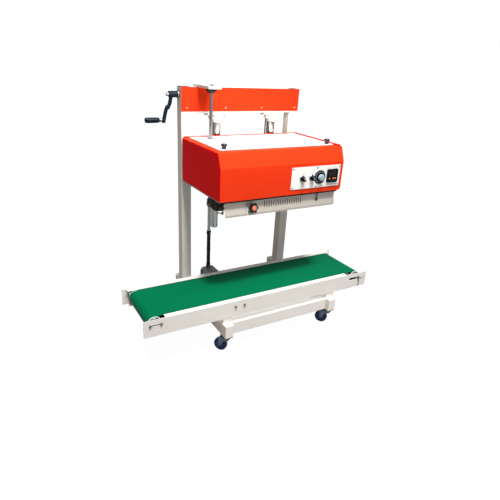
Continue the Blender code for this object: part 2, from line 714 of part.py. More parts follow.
def make_chassis(finishes):
    """The head's base plate and back plate, with a slide block round each column and screw."""
    base = box((HEAD_X[0] + 0.004, GUARD_Y - 0.004, PLATE_Z[0]), (HEAD_X[1] - 0.004, 0.222, PLATE_Z[1]))
    back_y = HEAD_BACK + GAP
    back = box((-0.150, back_y, PLATE_Z[0] + 0.001), (0.370, back_y + 0.0065, 1.060))
    adds = [base, back]
    cuts = []
    for x in COLUMN_X:
        screw_x = x + SCREW_OFFSET
        low = (screw_x - 0.020, back_y + 0.003, 0.866)
        high = (x + COLUMN_R + 0.010, POST_Y + 0.034, 1.050)
        adds.append(rounded(box(low, high), 0.006, lambda a, b: abs(a.z - b.z) > 0.1 and a.y > 0.25, 1))
        cuts.append(rod((x, POST_Y, 0.80), (x, POST_Y, 1.10), COLUMN_R + GAP, 32))
        cuts.append(rod((screw_x, POST_Y, 0.80), (screw_x, POST_Y, 1.10), SCREW_R + GAP))
    cuts.append(rod((SPINDLE_X, SPINDLE_Y, 0.82), (SPINDLE_X, SPINDLE_Y, 0.84), 0.014, 16))
    for side in (-1, 1):
        for x in (*BAND_WHEEL_X, PRESS_X):
            y = FILM_Y + side * WHEEL_OFFSET
            cuts.append(rod((x, y, 0.82), (x, y, 0.84), 0.007, 12))
    return build("head_chassis", finishes["steel"], adds, cuts)


def make_panel(finishes):
    """The white control panel and what it carries."""
    back = HEAD_FRONT - GAP
    front = back - 0.0025
    sheet = box((PANEL_X[0], front, PANEL_Z[0]), (PANEL_X[1], back, PANEL_Z[1]))
    cuts = []
    for x in (*SWITCH_X, DIAL_X):
        cuts.append(rod((x, front - 0.01, CONTROL_Z), (x, back + 0.01, CONTROL_Z), 0.004 + 2 * GAP, 16))
    half = CONTROLLER_SIDE / 2 - 0.002
    cuts.append(
        box(
            (CONTROLLER_X - half, front - 0.01, CONTROL_Z + 0.003 - half),
            (CONTROLLER_X + half, back + 0.01, CONTROL_Z + 0.003 + half),
        )
    )
    build("control_panel", finishes["panel"], [sheet], cuts)
    make_controls(finishes, front)


def make_controls(finishes, panel_front):
    """Two rotary switches, the speed knob and the temperature controller."""
    face = panel_front - GAP
    for side, x in zip(("left", "right"), SWITCH_X):
        collar = rod((x, face, CONTROL_Z), (x, face - 0.010, CONTROL_Z), 0.0145, 20)
        shaft = rod((x, face - 0.002, CONTROL_Z), (x, face + 0.030, CONTROL_Z), 0.004, 12)
        bar_low = (x - 0.0055, face - 0.025, CONTROL_Z - 0.0145)
        bar = box(bar_low, (x + 0.0055, face - 0.009, CONTROL_Z + 0.0145))
        bar = rounded(bar, 0.004, lambda a, b: abs(a.y - b.y) > 0.01, 1)
        build(f"rotary_switch_{side}", finishes["black"], [collar, shaft, bar], (), (x, face, CONTROL_Z))
    profile = [(0, 0.025), (0.004, 0.025), (0.004, -0.0015), (0.016, -0.0015), (0.0165, -0.006)]
    profile += [(0.014, -0.018), (0.012, -0.0195), (0, -0.0195)]
    knob = turned(profile, (DIAL_X, face, CONTROL_Z), (0, 1, 0), 20)
    build("speed_knob", finishes["knob"], [knob], (), (DIAL_X, face, CONTROL_Z))
    half = CONTROLLER_SIDE / 2
    centre_z = CONTROL_Z + 0.003
    bezel_low = (CONTROLLER_X - half, face - 0.009, centre_z - half)
    bezel = box(bezel_low, (CONTROLLER_X + half, face, centre_z + half))
    inner = half - 0.0025
    body = box(
        (CONTROLLER_X - inner, face - 0.003, centre_z - inner),
        (CONTROLLER_X + inner, face + 0.070, centre_z + inner),
    )
    build("temperature_controller", finishes["black"], [bezel, body])


def make_head_drive(finishes):
    """Gear motor in the casing, its pinion, and the gear that slides along the spindle."""
    motor_x = SPINDLE_X + 0.060
    top = 0.868
    flange_low = (motor_x - 0.040, SPINDLE_Y - 0.040, top)
    flange = box(flange_low, (motor_x + 0.040, SPINDLE_Y + 0.040, top + 0.008))
    can = rod((motor_x, SPINDLE_Y, top + 0.007), (motor_x, SPINDLE_Y, top + 0.135), 0.036)
    adds = [flange, can]
    for y in (SPINDLE_Y - 0.033, SPINDLE_Y + 0.033):
        adds.append(rod((motor_x + 0.033, y, HEAD_LOW), (motor_x + 0.033, y, top + 0.004), 0.005, 12))
    bore = rod((motor_x, SPINDLE_Y, top - 0.01), (motor_x, SPINDLE_Y, top + 0.012), 0.005 + GAP, 16)
    build("drive_motor", finishes["cast"], adds, [bore])
    shaft_top = top + 0.011
    profile = [(0, 0.848), (0.0197, 0.848), (0.0197, 0.862), (0.005, 0.862), (0.005, shaft_top), (0, shaft_top)]
    pinion = turned(profile, (motor_x, SPINDLE_Y, 0))
    build("motor_pinion", finishes["steel"], [pinion], (), (motor_x, SPINDLE_Y, 0.855))
    inner = SPINDLE_R + GAP
    profile = [(inner, 0.8345), (0.018, 0.8345), (0.018, 0.850), (0.0397, 0.850), (0.0397, 0.860), (inner, 0.860)]
    gear = turned(profile, (SPINDLE_X, SPINDLE_Y, 0))
    build("spindle_gear", finishes["steel"], [gear], (), (SPINDLE_X, SPINDLE_Y, 0.855))


# ---------------------------------------------------------------- sealing unit under the head


def make_band_wheels(finishes):
    """Band wheels and press wheels, each on a shaft that passes up through the base plate."""
    profile = [(0, 0.764), (0.010, 0.764), (0.010, 0.768), (BAND_WHEEL_R, 0.768), (BAND_WHEEL_R, 0.806)]
    profile += [(0.012, 0.806), (0.012, 0.812), (0.006, 0.812), (0.006, 0.845), (0, 0.845)]
    for side, sign in (("front", -1), ("rear", 1)):
        y = FILM_Y + sign * WHEEL_OFFSET
        for end, x in zip(("infeed", "outfeed"), BAND_WHEEL_X):
            wheel = turned(profile, (x, y, 0))
            build(f"band_wheel_{end}_{side}", finishes["rubber"], [wheel], (), (x, y, 0.787))
        wheel = turned(profile, (PRESS_X, y, 0))
        build(f"press_wheel_{side}", finishes["rubber"], [wheel], (), (PRESS_X, y, 0.787))


def make_bands(finishes):
    """The two sealing bands, each round its two band wheels."""
    middle = sum(BAND_WHEEL_X) / 2
    half_length = (BAND_WHEEL_X[1] - BAND_WHEEL_X[0]) / 2
    for side, sign in (("front", -1), ("rear", 1)):
        y = FILM_Y + sign * WHEEL_OFFSET
        inner_r = BAND_WHEEL_R + TURN_ROOM
        outer = prism(shifted(stadium(half_length, inner_r + BAND_THICK), middle, y), "Z", *BAND_Z)
        inner = prism(
            shifted(stadium(half_length, inner_r), middle, y), "Z", BAND_Z[0] - 0.01, BAND_Z[1] + 0.01
        )
        build(f"sealing_band_{side}", finishes["band"], [outer], [inner])


def make_blocks(finishes):
    """Heating and cooling blocks, which press each band's inner run towards the film."""
    near = FILM_GAP / 2 + BAND_THICK + GAP
    for side, sign in (("front", -1), ("rear", 1)):
        edges = sorted((FILM_Y + sign * near, FILM_Y + sign * (near + 0.014)))
        kinds = (("heating", (-0.190, -0.010), "brass"), ("cooling", (0.030, 0.210), "aluminium"))
        for kind, span, look in kinds:
            block = box((span[0], edges[0], 0.766), (span[1], edges[1], PLATE_Z[0] - GAP))
            build(f"{kind}_block_{side}", finishes[look], [block])


def guard_outline():
    """Folded strip in (y, z): top flange, upright part, a part that leans out, and a lip."""
    top = PLATE_Z[0] - GAP
    front = GUARD_Y
    sheet = GUARD_SHEET
    outer = [(front + 0.016, top), (front, top), (front, 0.788)]
    outer += [(front - 0.011, 0.757), (front - 0.011, 0.7465)]
    inner = [
        (front - 0.011 + sheet, 0.7465),
        (front - 0.011 + sheet, 0.7565),
        (front + sheet, 0.7875),
        (front + sheet, top - sheet),
        (front + 0.016, top - sheet),
    ]
    return outer + inner


def make_guards(finishes):
    """The two brushed guard strips in front of the bands; the right one has the vent slots."""
    build("guard_left", finishes["aluminium"], [prism(guard_outline(), "X", GUARD_X[0], GUARD_X[1])])
    cuts = []
    for index in range(17):
        x = -0.021 + 0.0146 * index
        cuts.append(box((x - 0.0022, GUARD_Y - 0.02, 0.776), (x + 0.0022, GUARD_Y + 0.006, 0.814)))
    slots = bmesh.new()
    for cut in cuts:
        mesh = bpy.data.meshes.new("slot")
        cut.to_mesh(mesh)
        slots.from_mesh(mesh)
        cut.free()
        bpy.data.meshes.remove(mesh)
    hole = rod((STAR_X, GUARD_Y - 0.02, STAR_Z), (STAR_X, GUARD_Y + 0.01, STAR_Z), 0.005 + 2 * GAP, 16)
    corner = [(0.432, 0.74), (0.46, 0.74), (0.46, 0.775), (0.445, 0.762), (0.440, 0.752)]
    corner = prism(corner, "Y", -0.26, -0.22)
    build(
        "guard_right",
        finishes["aluminium"],
        [prism(guard_outline(), "X", GUARD_X[2], GUARD_X[3])],
        [slots, hole, corner],
    )


def star_outline():
    """Six rounded lobes about the knob's centre."""
    points = []
    for step in range(36):
        angle = 2 * math.pi * step / 36
        radius = 0.0245 + 0.003 * math.cos(6 * angle)
        points.append((STAR_X + radius * math.cos(angle), STAR_Z + radius * math.sin(angle)))
    return points


def make_pressure_knob(finishes):
    """The lobed knob whose screw sets the press wheels' force."""
    lobes = prism(star_outline(), "Y", GUARD_Y - 0.032, GUARD_Y - 0.014)
    hub = rod((STAR_X, GUARD_Y - 0.015, STAR_Z), (STAR_X, GUARD_Y - 0.0125, STAR_Z), 0.010, 16)
    cap = rod((STAR_X, GUARD_Y - 0.031, STAR_Z), (STAR_X, GUARD_Y - 0.036, STAR_Z), 0.0135, 20)
    stem = rod((STAR_X, GUARD_Y - 0.014, STAR_Z), (STAR_X, GUARD_Y + 0.033, STAR_Z), 0.005, 12)
    build("pressure_knob", finishes["black"], [lobes, hub, cap, stem], (), (STAR_X, GUARD_Y, STAR_Z))


def ring_shape(centre, radius, thickness):
    """A plain torus about the Y axis."""
    profile = []
    for step in range(8):
        angle = 2 * math.pi * step / 8
        profile.append((radius + thickness * math.cos(angle), thickness * math.sin(angle)))
    return turned(profile, centre, (0, 1, 0), 16)


def make_lever(finishes):
    """The small hanging lever with a ring at its end."""
    y = GUARD_Y - 0.006
    stem = rod((LEVER_X, y, 0.7965), (LEVER_X, y, LEVER_Z + 0.002), 0.002, 10)
    ring = ring_shape((LEVER_X, y, 0.789), 0.0065, 0.002)
    pivot = rod((LEVER_X, y - 0.0025, LEVER_Z), (LEVER_X, GUARD_Y - GAP, LEVER_Z), 0.0035, 12)
    build("release_lever", finishes["steel"], [stem, ring, pivot], (), (LEVER_X, y, LEVER_Z))


def make_infeed_guide(finishes):
    """Upright strip and three fingers that lead the bag's mouth in between the bands."""
    y = GUARD_Y + 0.004
    strip = box((-0.2685, y, 0.762), (-0.2585, y + 0.0025, PLATE_Z[0] - GAP))
    adds = [strip]
    for z in (0.770, 0.790, 0.810):
        outline = [(-0.266, y + 0.0005), (-0.290, y + 0.020), (-0.2915, y + 0.018), (-0.2675, y - 0.0012)]
        adds.append(prism(outline, "Z", z - 0.003, z + 0.003))
    build("infeed_guide", finishes["steel"], adds)


# ---------------------------------------------------------------- whole machine


def clear_scene():
    for item in list(bpy.data.objects):
        bpy.data.objects.remove(item, do_unlink=True)


def main():
    clear_scene()
    finishes = make_finishes()
    make_base(finishes)
    make_mast(finishes)
    make_beam_cover(finishes)
    make_columns(finishes)
    make_spindle_support(finishes)
    make_castors(finishes)
    make_crank(finishes)
    make_lift_drive(finishes)
    make_spindle(finishes)
    make_gearbox(finishes)
    make_rail("conveyor_rail_front", RAIL_FRONT_Y, 1, finishes)
    make_rail("conveyor_rail_rear", RAIL_REAR_Y, -1, finishes)
    make_bed(finishes)
    make_belt(finishes)
    make_rollers(finishes)
    make_casing(finishes)
    make_lid(finishes)
    make_chassis(finishes)
    make_panel(finishes)
    make_head_drive(finishes)
    make_band_wheels(finishes)
    make_bands(finishes)
    make_blocks(finishes)
    make_guards(finishes)
    make_pressure_knob(finishes)
    make_lever(finishes)
    make_infeed_guide(finishes)


main()
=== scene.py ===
import json
import math
from collections import namedtuple

import bmesh
import bpy
from mathutils import Matrix, Vector

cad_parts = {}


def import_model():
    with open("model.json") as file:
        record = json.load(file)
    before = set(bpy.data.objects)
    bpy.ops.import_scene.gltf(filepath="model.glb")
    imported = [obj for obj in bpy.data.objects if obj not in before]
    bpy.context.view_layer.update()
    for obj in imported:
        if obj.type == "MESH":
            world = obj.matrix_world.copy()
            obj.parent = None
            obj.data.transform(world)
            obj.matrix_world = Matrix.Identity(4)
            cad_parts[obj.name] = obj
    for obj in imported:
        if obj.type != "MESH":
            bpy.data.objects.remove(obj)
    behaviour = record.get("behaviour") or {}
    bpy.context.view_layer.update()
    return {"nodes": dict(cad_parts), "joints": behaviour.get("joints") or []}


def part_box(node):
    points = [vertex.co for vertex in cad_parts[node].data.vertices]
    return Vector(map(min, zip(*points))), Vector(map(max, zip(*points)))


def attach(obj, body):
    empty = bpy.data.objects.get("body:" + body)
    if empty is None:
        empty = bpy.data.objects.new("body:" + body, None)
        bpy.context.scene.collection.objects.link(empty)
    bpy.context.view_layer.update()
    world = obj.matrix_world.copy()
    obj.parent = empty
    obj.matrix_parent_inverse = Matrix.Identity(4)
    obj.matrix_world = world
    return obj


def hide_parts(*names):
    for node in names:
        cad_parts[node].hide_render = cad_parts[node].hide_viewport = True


Place = namedtuple("Place", "x y z")

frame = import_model()
NODES = frame["nodes"]
JOINTS = {joint["name"]: joint for joint in frame["joints"]}
SIDES = ("left", "right")
UP, DOWN = (0, 0, 1), (0, 0, -1)
FRONT, BACK = (0, -1, 0), (0, 1, 0)
LEFT, RIGHT = (-1, 0, 0), (1, 0, 0)


# ------------------------------------------------------------------ materials


def srgb(r, g, b):
    out = []
    for level in (r, g, b):
        part = level / 255
        out.append(part / 12.92 if part <= 0.04045 else ((part + 0.055) / 1.055) ** 2.4)
    return (*out, 1.0)


def scaled(colour, share):
    return (*[c * share for c in colour[:3]], 1)


def add_node(tree, kind, inputs=(), **settings):
    """A shader node; each input is a value or the socket that feeds it."""
    made = tree.nodes.new(kind)
    for key, value in settings.items():
        setattr(made, key, value)
    for key, value in dict(inputs).items():
        if isinstance(value, bpy.types.NodeSocket):
            tree.links.new(value, made.inputs[key])
        else:
            made.inputs[key].default_value = value
    return made


class Look:
    """A node material being put together; coordinates are the object's own, in metres."""

    def __init__(self, name, colour, rough, metallic=0.0, **more):
        self.material = bpy.data.materials.new(name)
        self.material.use_nodes = True
        self.material.diffuse_color = colour
        self.tree = self.material.node_tree
        self.shader = self.tree.nodes["Principled BSDF"]
        values = {"Base Color": colour, "Roughness": rough, "Metallic": metallic}
        values.update((key.replace("_", " "), value) for key, value in more.items())
        for key, value in values.items():
            self.shader.inputs[key].default_value = value
        self.colour = colour
        self.place = self.node("ShaderNodeTexCoord").outputs["Object"]
        self.normal = None

    def node(self, kind, inputs=(), **settings):
        return add_node(self.tree, kind, inputs, **settings)

    def feed(self, source, key):
        self.tree.links.new(source, self.shader.inputs[key])
        return self

    def base(self):
        """What feeds the base colour now: a socket, or the plain colour."""
        links = self.shader.inputs["Base Color"].links
        return links[0].from_socket if links else self.colour

    def stretched(self, scale, turn=(0, 0, 0)):
        inputs = {"Scale": scale, "Rotation": turn, "Vector": self.place}
        return self.node("ShaderNodeMapping", inputs).outputs["Vector"]

    def noise(self, scale, detail=3.0, stretch=(1, 1, 1), distortion=0.0):
        inputs = {"Scale": scale, "Detail": detail, "Distortion": distortion}
        inputs["Vector"] = self.stretched(stretch)
        return self.node("ShaderNodeTexNoise", inputs).outputs["Fac"]

    def waves(self, scale, direction, place):
        inputs = {"Scale": scale, "Vector": place}
        made = self.node("ShaderNodeTexWave", inputs, wave_type="BANDS", bands_direction=direction)
        return made.outputs["Fac"]

    def spread(self, source, low, high, start=0.3, end=0.7):
        inputs = {"From Min": start, "From Max": end, "To Min": low, "To Max": high, "Value": source}
        return self.node("ShaderNodeMapRange", inputs).outputs["Result"]

    def tint(self, source, dark, light):
        """Base colour that runs from dark to light times its own value."""
        made = self.node("ShaderNodeValToRGB", {"Fac": source})
        low, high = made.color_ramp.elements
        low.position, high.position = 0.3, 0.7
        low.color = scaled(self.colour, dark)
        high.color = (*[min(1.0, c * light) for c in self.colour[:3]], 1)
        return self.feed(made.outputs["Color"], "Base Color")

    def polish(self, source, low, high):
        return self.feed(self.spread(source, low, high), "Roughness")

    def bump(self, source, depth, strength=1.0):
        inputs = {"Distance": depth, "Strength": strength, "Height": source}
        if self.normal is not None:
            inputs["Normal"] = self.normal
        self.normal = self.node("ShaderNodeBump", inputs).outputs["Normal"]
        return self.feed(self.normal, "Normal")

    def mixed(self, colour, keep):
        """The colour, with the base colour so far where keep is 1."""
        inputs = {"A": colour, "B": self.base(), "Factor": keep}
        made = self.node("ShaderNodeMix", inputs, data_type="RGBA")
        return self.feed(made.outputs["Result"], "Base Color")

    def painted_left_shade(self, turned):
        """Painted shade: faces turned away to the left take the darker turned colour, as if less light falls
        on them.
        """
        normal = self.node("ShaderNodeNewGeometry").outputs["Normal"]
        facing = self.node("ShaderNodeSeparateXYZ", {"Vector": normal}).outputs["X"]
        return self.mixed(turned, self.spread(facing, 0, 1, -0.9, -0.2))

    def painted_corner_shade(self, colour, reach, amount):
        """Painted shade: the colour darkened towards the given colour in corners and hollows, by ambient
        occlusion.
        """
        open_air = self.node("ShaderNodeAmbientOcclusion", {"Distance": reach}, samples=4).outputs["AO"]
        return self.mixed(colour, self.spread(open_air, 1 - amount, 1, 0.15, 0.75))


def paint(name, colour, rough, shine=0.3, peel=0.00004, turned=None):
    """Sprayed paint: faint orange peel and slow colour drift, with painted shade darkening its corners, and
    painted shade in the turned colour on faces turned to the left.
    """
    look = Look(name, colour, rough, Specular_IOR_Level=shine)
    look.tint(look.noise(3, 3), 0.97, 1.02).polish(look.noise(40, 4), rough - 0.03, rough + 0.04)
    look.bump(look.noise(650, 2), peel, 0.12)
    if turned:
        # painted shade: the turned colour on faces turned to the left
        look.painted_left_shade(turned)
    # painted shade: darker in corners
    return look.painted_corner_shade(scaled(colour, 0.45), 0.012, 0.4).material


def brushed(name, colour, rough, along="X", scratch=0.00002, metallic=1.0):
    """Metal with fine parallel brush lines."""
    stretch = {"X": (0.02, 1, 1), "Y": (1, 0.02, 1), "Z": (1, 1, 0.02)}[along]
    look = Look(name, colour, rough, metallic)
    lines = look.noise(900, 3, stretch)
    look.tint(lines, 0.86, 1.08).polish(look.noise(9, 4), rough - 0.07, rough + 0.1)
    return look.bump(lines, scratch, 0.6).material


def polished(name, colour, rough):
    """Ground and chromed bar: faint hoop marks, smears of oil."""
    look = Look(name, colour, rough, 1.0)
    smear = look.noise(14, 5, (1, 1, 0.25), 1.5)
    look.tint(smear, 0.93, 1.03).polish(smear, rough * 0.6, rough * 2.2)
    return look.bump(look.noise(1200, 2, (0.05, 0.05, 1)), 0.000004, 0.5).material


def zinc(name, colour, rough=0.34, metallic=0.9):
    """Zinc plate: mottled grey with a dull bloom, and painted shade darkening its corners."""
    look = Look(name, colour, rough, metallic)
    spots = look.node("ShaderNodeTexVoronoi", {"Scale": 260, "Vector": look.place})
    look.tint(look.noise(40, 5, distortion=0.8), 0.8, 1.1)
    look.polish(spots.outputs["Distance"], rough - 0.06, rough + 0.14)
    look.bump(look.noise(900, 3), 0.00001, 0.4)
    # painted shade: near black in corners
    return look.painted_corner_shade((0.03, 0.028, 0.025, 1), 0.008, 0.4).material


def casting(name, colour, rough=0.5, metallic=0.25):
    """Painted sand casting: pebbled skin, with painted shade darkening its hollows."""
    look = Look(name, colour, rough, metallic)
    pebbles = look.noise(320, 5)
    look.tint(look.noise(22, 5, distortion=0.5), 0.75, 1.15).polish(pebbles, rough - 0.1, rough + 0.12)
    look.bump(pebbles, 0.00025, 0.5).bump(look.noise(60, 2), 0.0004, 0.3)
    # painted shade: near black in hollows
    return look.painted_corner_shade((0.015, 0.014, 0.012, 1), 0.012, 0.6).material


def moulded(name, colour, rough, depth=0.00005, grain=900, **more):
    """Moulded plastic or rubber: fine spark-eroded grain with handled, shinier patches."""
    look = Look(name, colour, rough, **more)
    look.tint(look.noise(30, 4), 0.86, 1.12).polish(look.noise(45, 4), rough - 0.08, rough + 0.1)
    return look.bump(look.noise(grain, 2), depth, 0.5).material


def belt_look():
    """Green belting: fine woven backing showing through the cover, soft sheen, scuffed lanes, and painted
    shade in its corners.
    """
    look = Look("belt_green", srgb(0, 104, 68), 0.34, Specular_IOR_Level=0.02)
    look.tint(look.noise(5, 3, (0.12, 1, 1)), 0.94, 1.05)
    look.polish(look.noise(12, 3, (0.3, 1, 1)), 0.30, 0.40)
    for turn in (45, -45):
        place = look.stretched((1, 1, 1), (0, 0, math.radians(turn)))
        look.bump(look.waves(260, "X", place), 0.00002, 0.2)
    look.bump(look.noise(30, 2), 0.00003, 0.2)
    # painted shade: deep green in corners
    return look.painted_corner_shade((0.0, 0.02, 0.012, 1), 0.012, 0.5).material


def cloth_band():
    """Sealing band: coated glass cloth with a plain weave."""
    look = Look("glass_cloth", srgb(150, 104, 58), 0.45)
    for direction in ("X", "Z"):
        look.bump(look.waves(330, direction, look.place), 0.00008, 0.6)
    return look.tint(look.noise(90, 4), 0.75, 1.15).material


def glow(name, colour, strength):
    look = Look(name, colour, 0.35, Emission_Color=colour)
    dots = look.noise(700, 2)
    look.tint(dots, 0.8, 1.1)
    return look.feed(look.spread(dots, strength * 0.7, strength * 1.2), "Emission Strength").material


def floor_look():
    """Plain white to the camera, and a soft grey to everything that it lights."""
    look = Look("floor_white", (0.30, 0.30, 0.30, 1), 0.8)
    look.tint(look.noise(1.5, 3), 0.99, 1.01)
    white = look.node("ShaderNodeEmission", {"Strength": 0.97})
    faint = look.node("ShaderNodeBsdfDiffuse", {"Color": (0.06, 0.06, 0.06, 1)})
    bright = look.node("ShaderNodeAddShader", {0: white.outputs[0], 1: faint.outputs[0]})
    seen = look.node("ShaderNodeLightPath").outputs["Is Camera Ray"]
    choose = look.node("ShaderNodeMixShader", {"Fac": seen, 1: look.shader.outputs[0], 2: bright.outputs[0]})
    look.tree.links.new(choose.outputs[0], look.tree.nodes["Material Output"].inputs["Surface"])
    return look.material


M = {
    # the turned colours are painted shade for faces turned to the left
    "cream": paint("cream_powder_coat", srgb(236, 232, 225), 0.42, 0.2, turned=srgb(224, 214, 202)),
    "red": paint("red_enamel", srgb(228, 57, 24), 0.38, 0.03, turned=srgb(238, 0, 6)),
    "lid": paint("white_lid_coat", srgb(244, 244, 242), 0.40, 0.25),
    "panel": paint("panel_sheet", srgb(238, 238, 233), 0.40, 0.2, 0.00002),
    "chrome": polished("hard_chrome", srgb(205, 208, 208), 0.10),
    "spindle": polished("ground_steel", srgb(176, 176, 172), 0.20),
    "fork": zinc("fork_zinc", srgb(98, 118, 134), 0.30, 0.7),
    "bright": zinc("bright_zinc", srgb(226, 228, 234), 0.3, 0.35),
    "thread": brushed("lead_screw_steel", srgb(128, 122, 112), 0.34, "Z"),
    "guard": brushed("brushed_guard", srgb(208, 200, 190), 0.34, "X", 0.00002, 0.45),
    "aluminium": brushed("turned_aluminium", srgb(206, 208, 208), 0.28, "Y"),
    "sheet": brushed("bed_sheet", srgb(150, 150, 148), 0.42, "X"),
    "zinc": zinc("zinc_plate", srgb(160, 172, 178)),
    "bolt": zinc("bolt_zinc", srgb(150, 150, 142), 0.3),
    "chassis": zinc("chassis_plate", srgb(150, 150, 146), 0.42),
    "cast": casting("grey_casting", srgb(156, 155, 148), 0.45),
    "motor": casting("motor_casting", srgb(70, 76, 82), 0.45),
    "bearing": casting("black_casting", srgb(26, 26, 28), 0.42, 0.1),
    "crank": moulded("crank_black", srgb(4, 24, 36), 0.38, 0.00003, 500, Specular_IOR_Level=0.22),
    "black": moulded("black_plastic", srgb(16, 16, 18), 0.34),
    "gloss": moulded("black_gloss", srgb(10, 10, 13), 0.26, 0.00001, Specular_IOR_Level=0.25),
    "sleeve": moulded("sleeve_black", srgb(9, 9, 10), 0.38, 0.00005, 700),
    "blue": moulded("castor_blue", srgb(2, 30, 92), 0.36, 0.00006, 600, Specular_IOR_Level=0.3),
    "hub": moulded("castor_hub", srgb(20, 44, 84), 0.35),
    "key": moulded("key_grey", srgb(150, 160, 166), 0.4),
    "pale": moulded("pale_screw", srgb(214, 164, 152), 0.36),
    "end": moulded("roller_end", srgb(228, 252, 250), 0.38),
    "plum": moulded("plum_knob", srgb(46, 40, 58), 0.32),
    "rubber": moulded("band_rubber", srgb(20, 20, 21), 0.62, 0.00015, 400),
    "brass": brushed("heater_brass", srgb(178, 138, 68), 0.34, "X"),
    "cool": brushed("cooler_aluminium", srgb(176, 178, 180), 0.36, "X"),
    "knob": moulded("speed_cap", srgb(150, 172, 182), 0.30),
    "salmon": moulded("salmon_cap", srgb(248, 128, 104), 0.36),
    "teal": moulded("teal_plug", srgb(0, 128, 156), 0.4),
    # dark print and keys; on screws, painted shade in their cross recesses
    "mark": moulded("print_and_cross_shade", srgb(30, 32, 36), 0.5),
    # dark: painted shade under the casing's edge and in the rail's take-up slot; also used for the infeed
    # shroud
    "recess": moulded("dark_recess", srgb(22, 21, 20), 0.7),
    # painted shade behind the guard's cooling slots
    "shade_dark": moulded("painted_slot_shade", srgb(52, 40, 36), 0.7),
    # painted shadow at the rail's end-plate joint
    "shade": moulded("painted_joint_shadow", srgb(120, 98, 84), 0.7),
    "belt": belt_look(),
    "band": cloth_band(),
    "led": glow("orange_digit", srgb(255, 140, 80), 1.1),
    "glass": Look("display_window", srgb(12, 10, 14), 0.12).material,
}
OWN_SLOTS = "cream red lid panel chrome aluminium cast crank black bearing belt blue rubber band brass knob"
SLOTS = {look: look for look in OWN_SLOTS.split()}
SLOTS.update(dict.fromkeys(("spindle", "thread", "zinc", "fork", "bolt", "chassis"), "steel"))
SLOTS.update(guard="aluminium", gloss="black", plum="black")


# ------------------------------------------------------------------ shapes


def closed(shape):
    bmesh.ops.recalc_face_normals(shape, faces=shape.faces)
    return shape


def moved(shape, matrix):
    bmesh.ops.transform(shape, matrix=matrix, verts=shape.verts)
    return shape


def shift(*place):
    return Matrix.Translation(place)


def turn_to(axis):
    return Vector(axis).to_track_quat("Z", "Y").to_matrix().to_4x4()


def spun(axis, degrees):
    return Matrix.Rotation(math.radians(degrees), 4, axis)


def around(count, turn=0.0):
    """Cosine and sine of evenly spaced angles."""
    angles = [2 * math.pi * step / count + turn for step in range(count)]
    return [(math.cos(angle), math.sin(angle)) for angle in angles]


def soften(shape, width, steps=2, edges=None):
    edges = edges or list(shape.edges)
    how = {"segments": steps, "profile": 0.5, "affect": "EDGES", "clamp_overlap": True}
    bmesh.ops.bevel(shape, geom=edges, offset=width, **how)
    return closed(shape)


def box(low, high, r=0.001, steps=2):
    shape = bmesh.new()
    bmesh.ops.create_cube(shape, size=1.0)
    low, high = Vector(low), Vector(high)
    size = [abs(reach) for reach in high - low]
    moved(shape, Matrix.Translation((high + low) / 2) @ Matrix.Diagonal((*size, 1.0)))
    return soften(shape, r, steps) if r else closed(shape)


def skin(rings, ends=False, joined=False):
    """Rings of points joined by faces, open, with capped ends, or with the last joined to the first."""
    shape = bmesh.new()
    rings = [[shape.verts.new(point) for point in ring] for ring in rings]
    pairs = list(zip(rings, rings[1:]))
    if joined:
        pairs.append((rings[-1], rings[0]))
    for first, second in pairs:
        count = max(len(first), len(second))
        for step in range(count):
            after = (step + 1) % count
            corners = [first[step % len(first)], first[after % len(first)]]
            corners += [second[after % len(second)], second[step % len(second)]]
            shape.faces.new(list(dict.fromkeys(corners)))  # a triangle where a ring is a single point
    if ends:
        shape.faces.new(rings[0])
        shape.faces.new(rings[-1])
    return closed(shape)


def lathe(profile, centre=(0, 0, 0), axis=UP, segments=64):
    """A solid of revolution; the profile is (radius, height), starting and ending on the axis or closing."""
    rings = []
    for radius, height in profile:
        ring = [(radius * cosine, radius * sine, height) for cosine, sine in around(segments)]
        rings.append(ring if radius > 1e-6 else [(0, 0, height)])
    shape = skin(rings, joined=len(rings[0]) > 1)
    return closed(moved(shape, Matrix.Translation(centre) @ turn_to(axis)))


def rod(start, end, radius, edge=0.0006, segments=48):
    """A round bar with broken edges."""
    start, end = Vector(start), Vector(end)
    length = (end - start).length
    edge = min(edge, radius * 0.4, length * 0.4)
    profile = [(0, 0), (radius - edge, 0), (radius - edge * 0.3, edge * 0.3), (radius, edge)]
    profile += [(radius, length - edge), (radius - edge * 0.3, length - edge * 0.3)]
    return lathe(profile + [(radius - edge, length), (0, length)], start, end - start, segments)


def tube(start, end, outer, inner, edge=0.0005, segments=48):
    start, end = Vector(start), Vector(end)
    length = (end - start).length
    profile = [(inner, 0), (outer - edge, 0), (outer, edge), (outer, length - edge), (outer - edge, length)]
    return lathe(profile + [(inner, length)], start, end - start, segments)


PLANES = {
    "X": Matrix(((0, 0, 1, 0), (1, 0, 0, 0), (0, 1, 0, 0), (0, 0, 0, 1))),
    "Y": Matrix(((1, 0, 0, 0), (0, 0, -1, 0), (0, 1, 0, 0), (0, 0, 0, 1))),
    "Z": Matrix.Identity(4),
}


def plain_slab(outline, height):
    shape = bmesh.new()
    face = shape.faces.new([shape.verts.new((a, b, 0)) for a, b in outline])
    made = bmesh.ops.extrude_face_region(shape, geom=[face])
    lifted = [item for item in made["geom"] if isinstance(item, bmesh.types.BMVert)]
    bmesh.ops.translate(shape, vec=(0, 0, height), verts=lifted)
    return shape


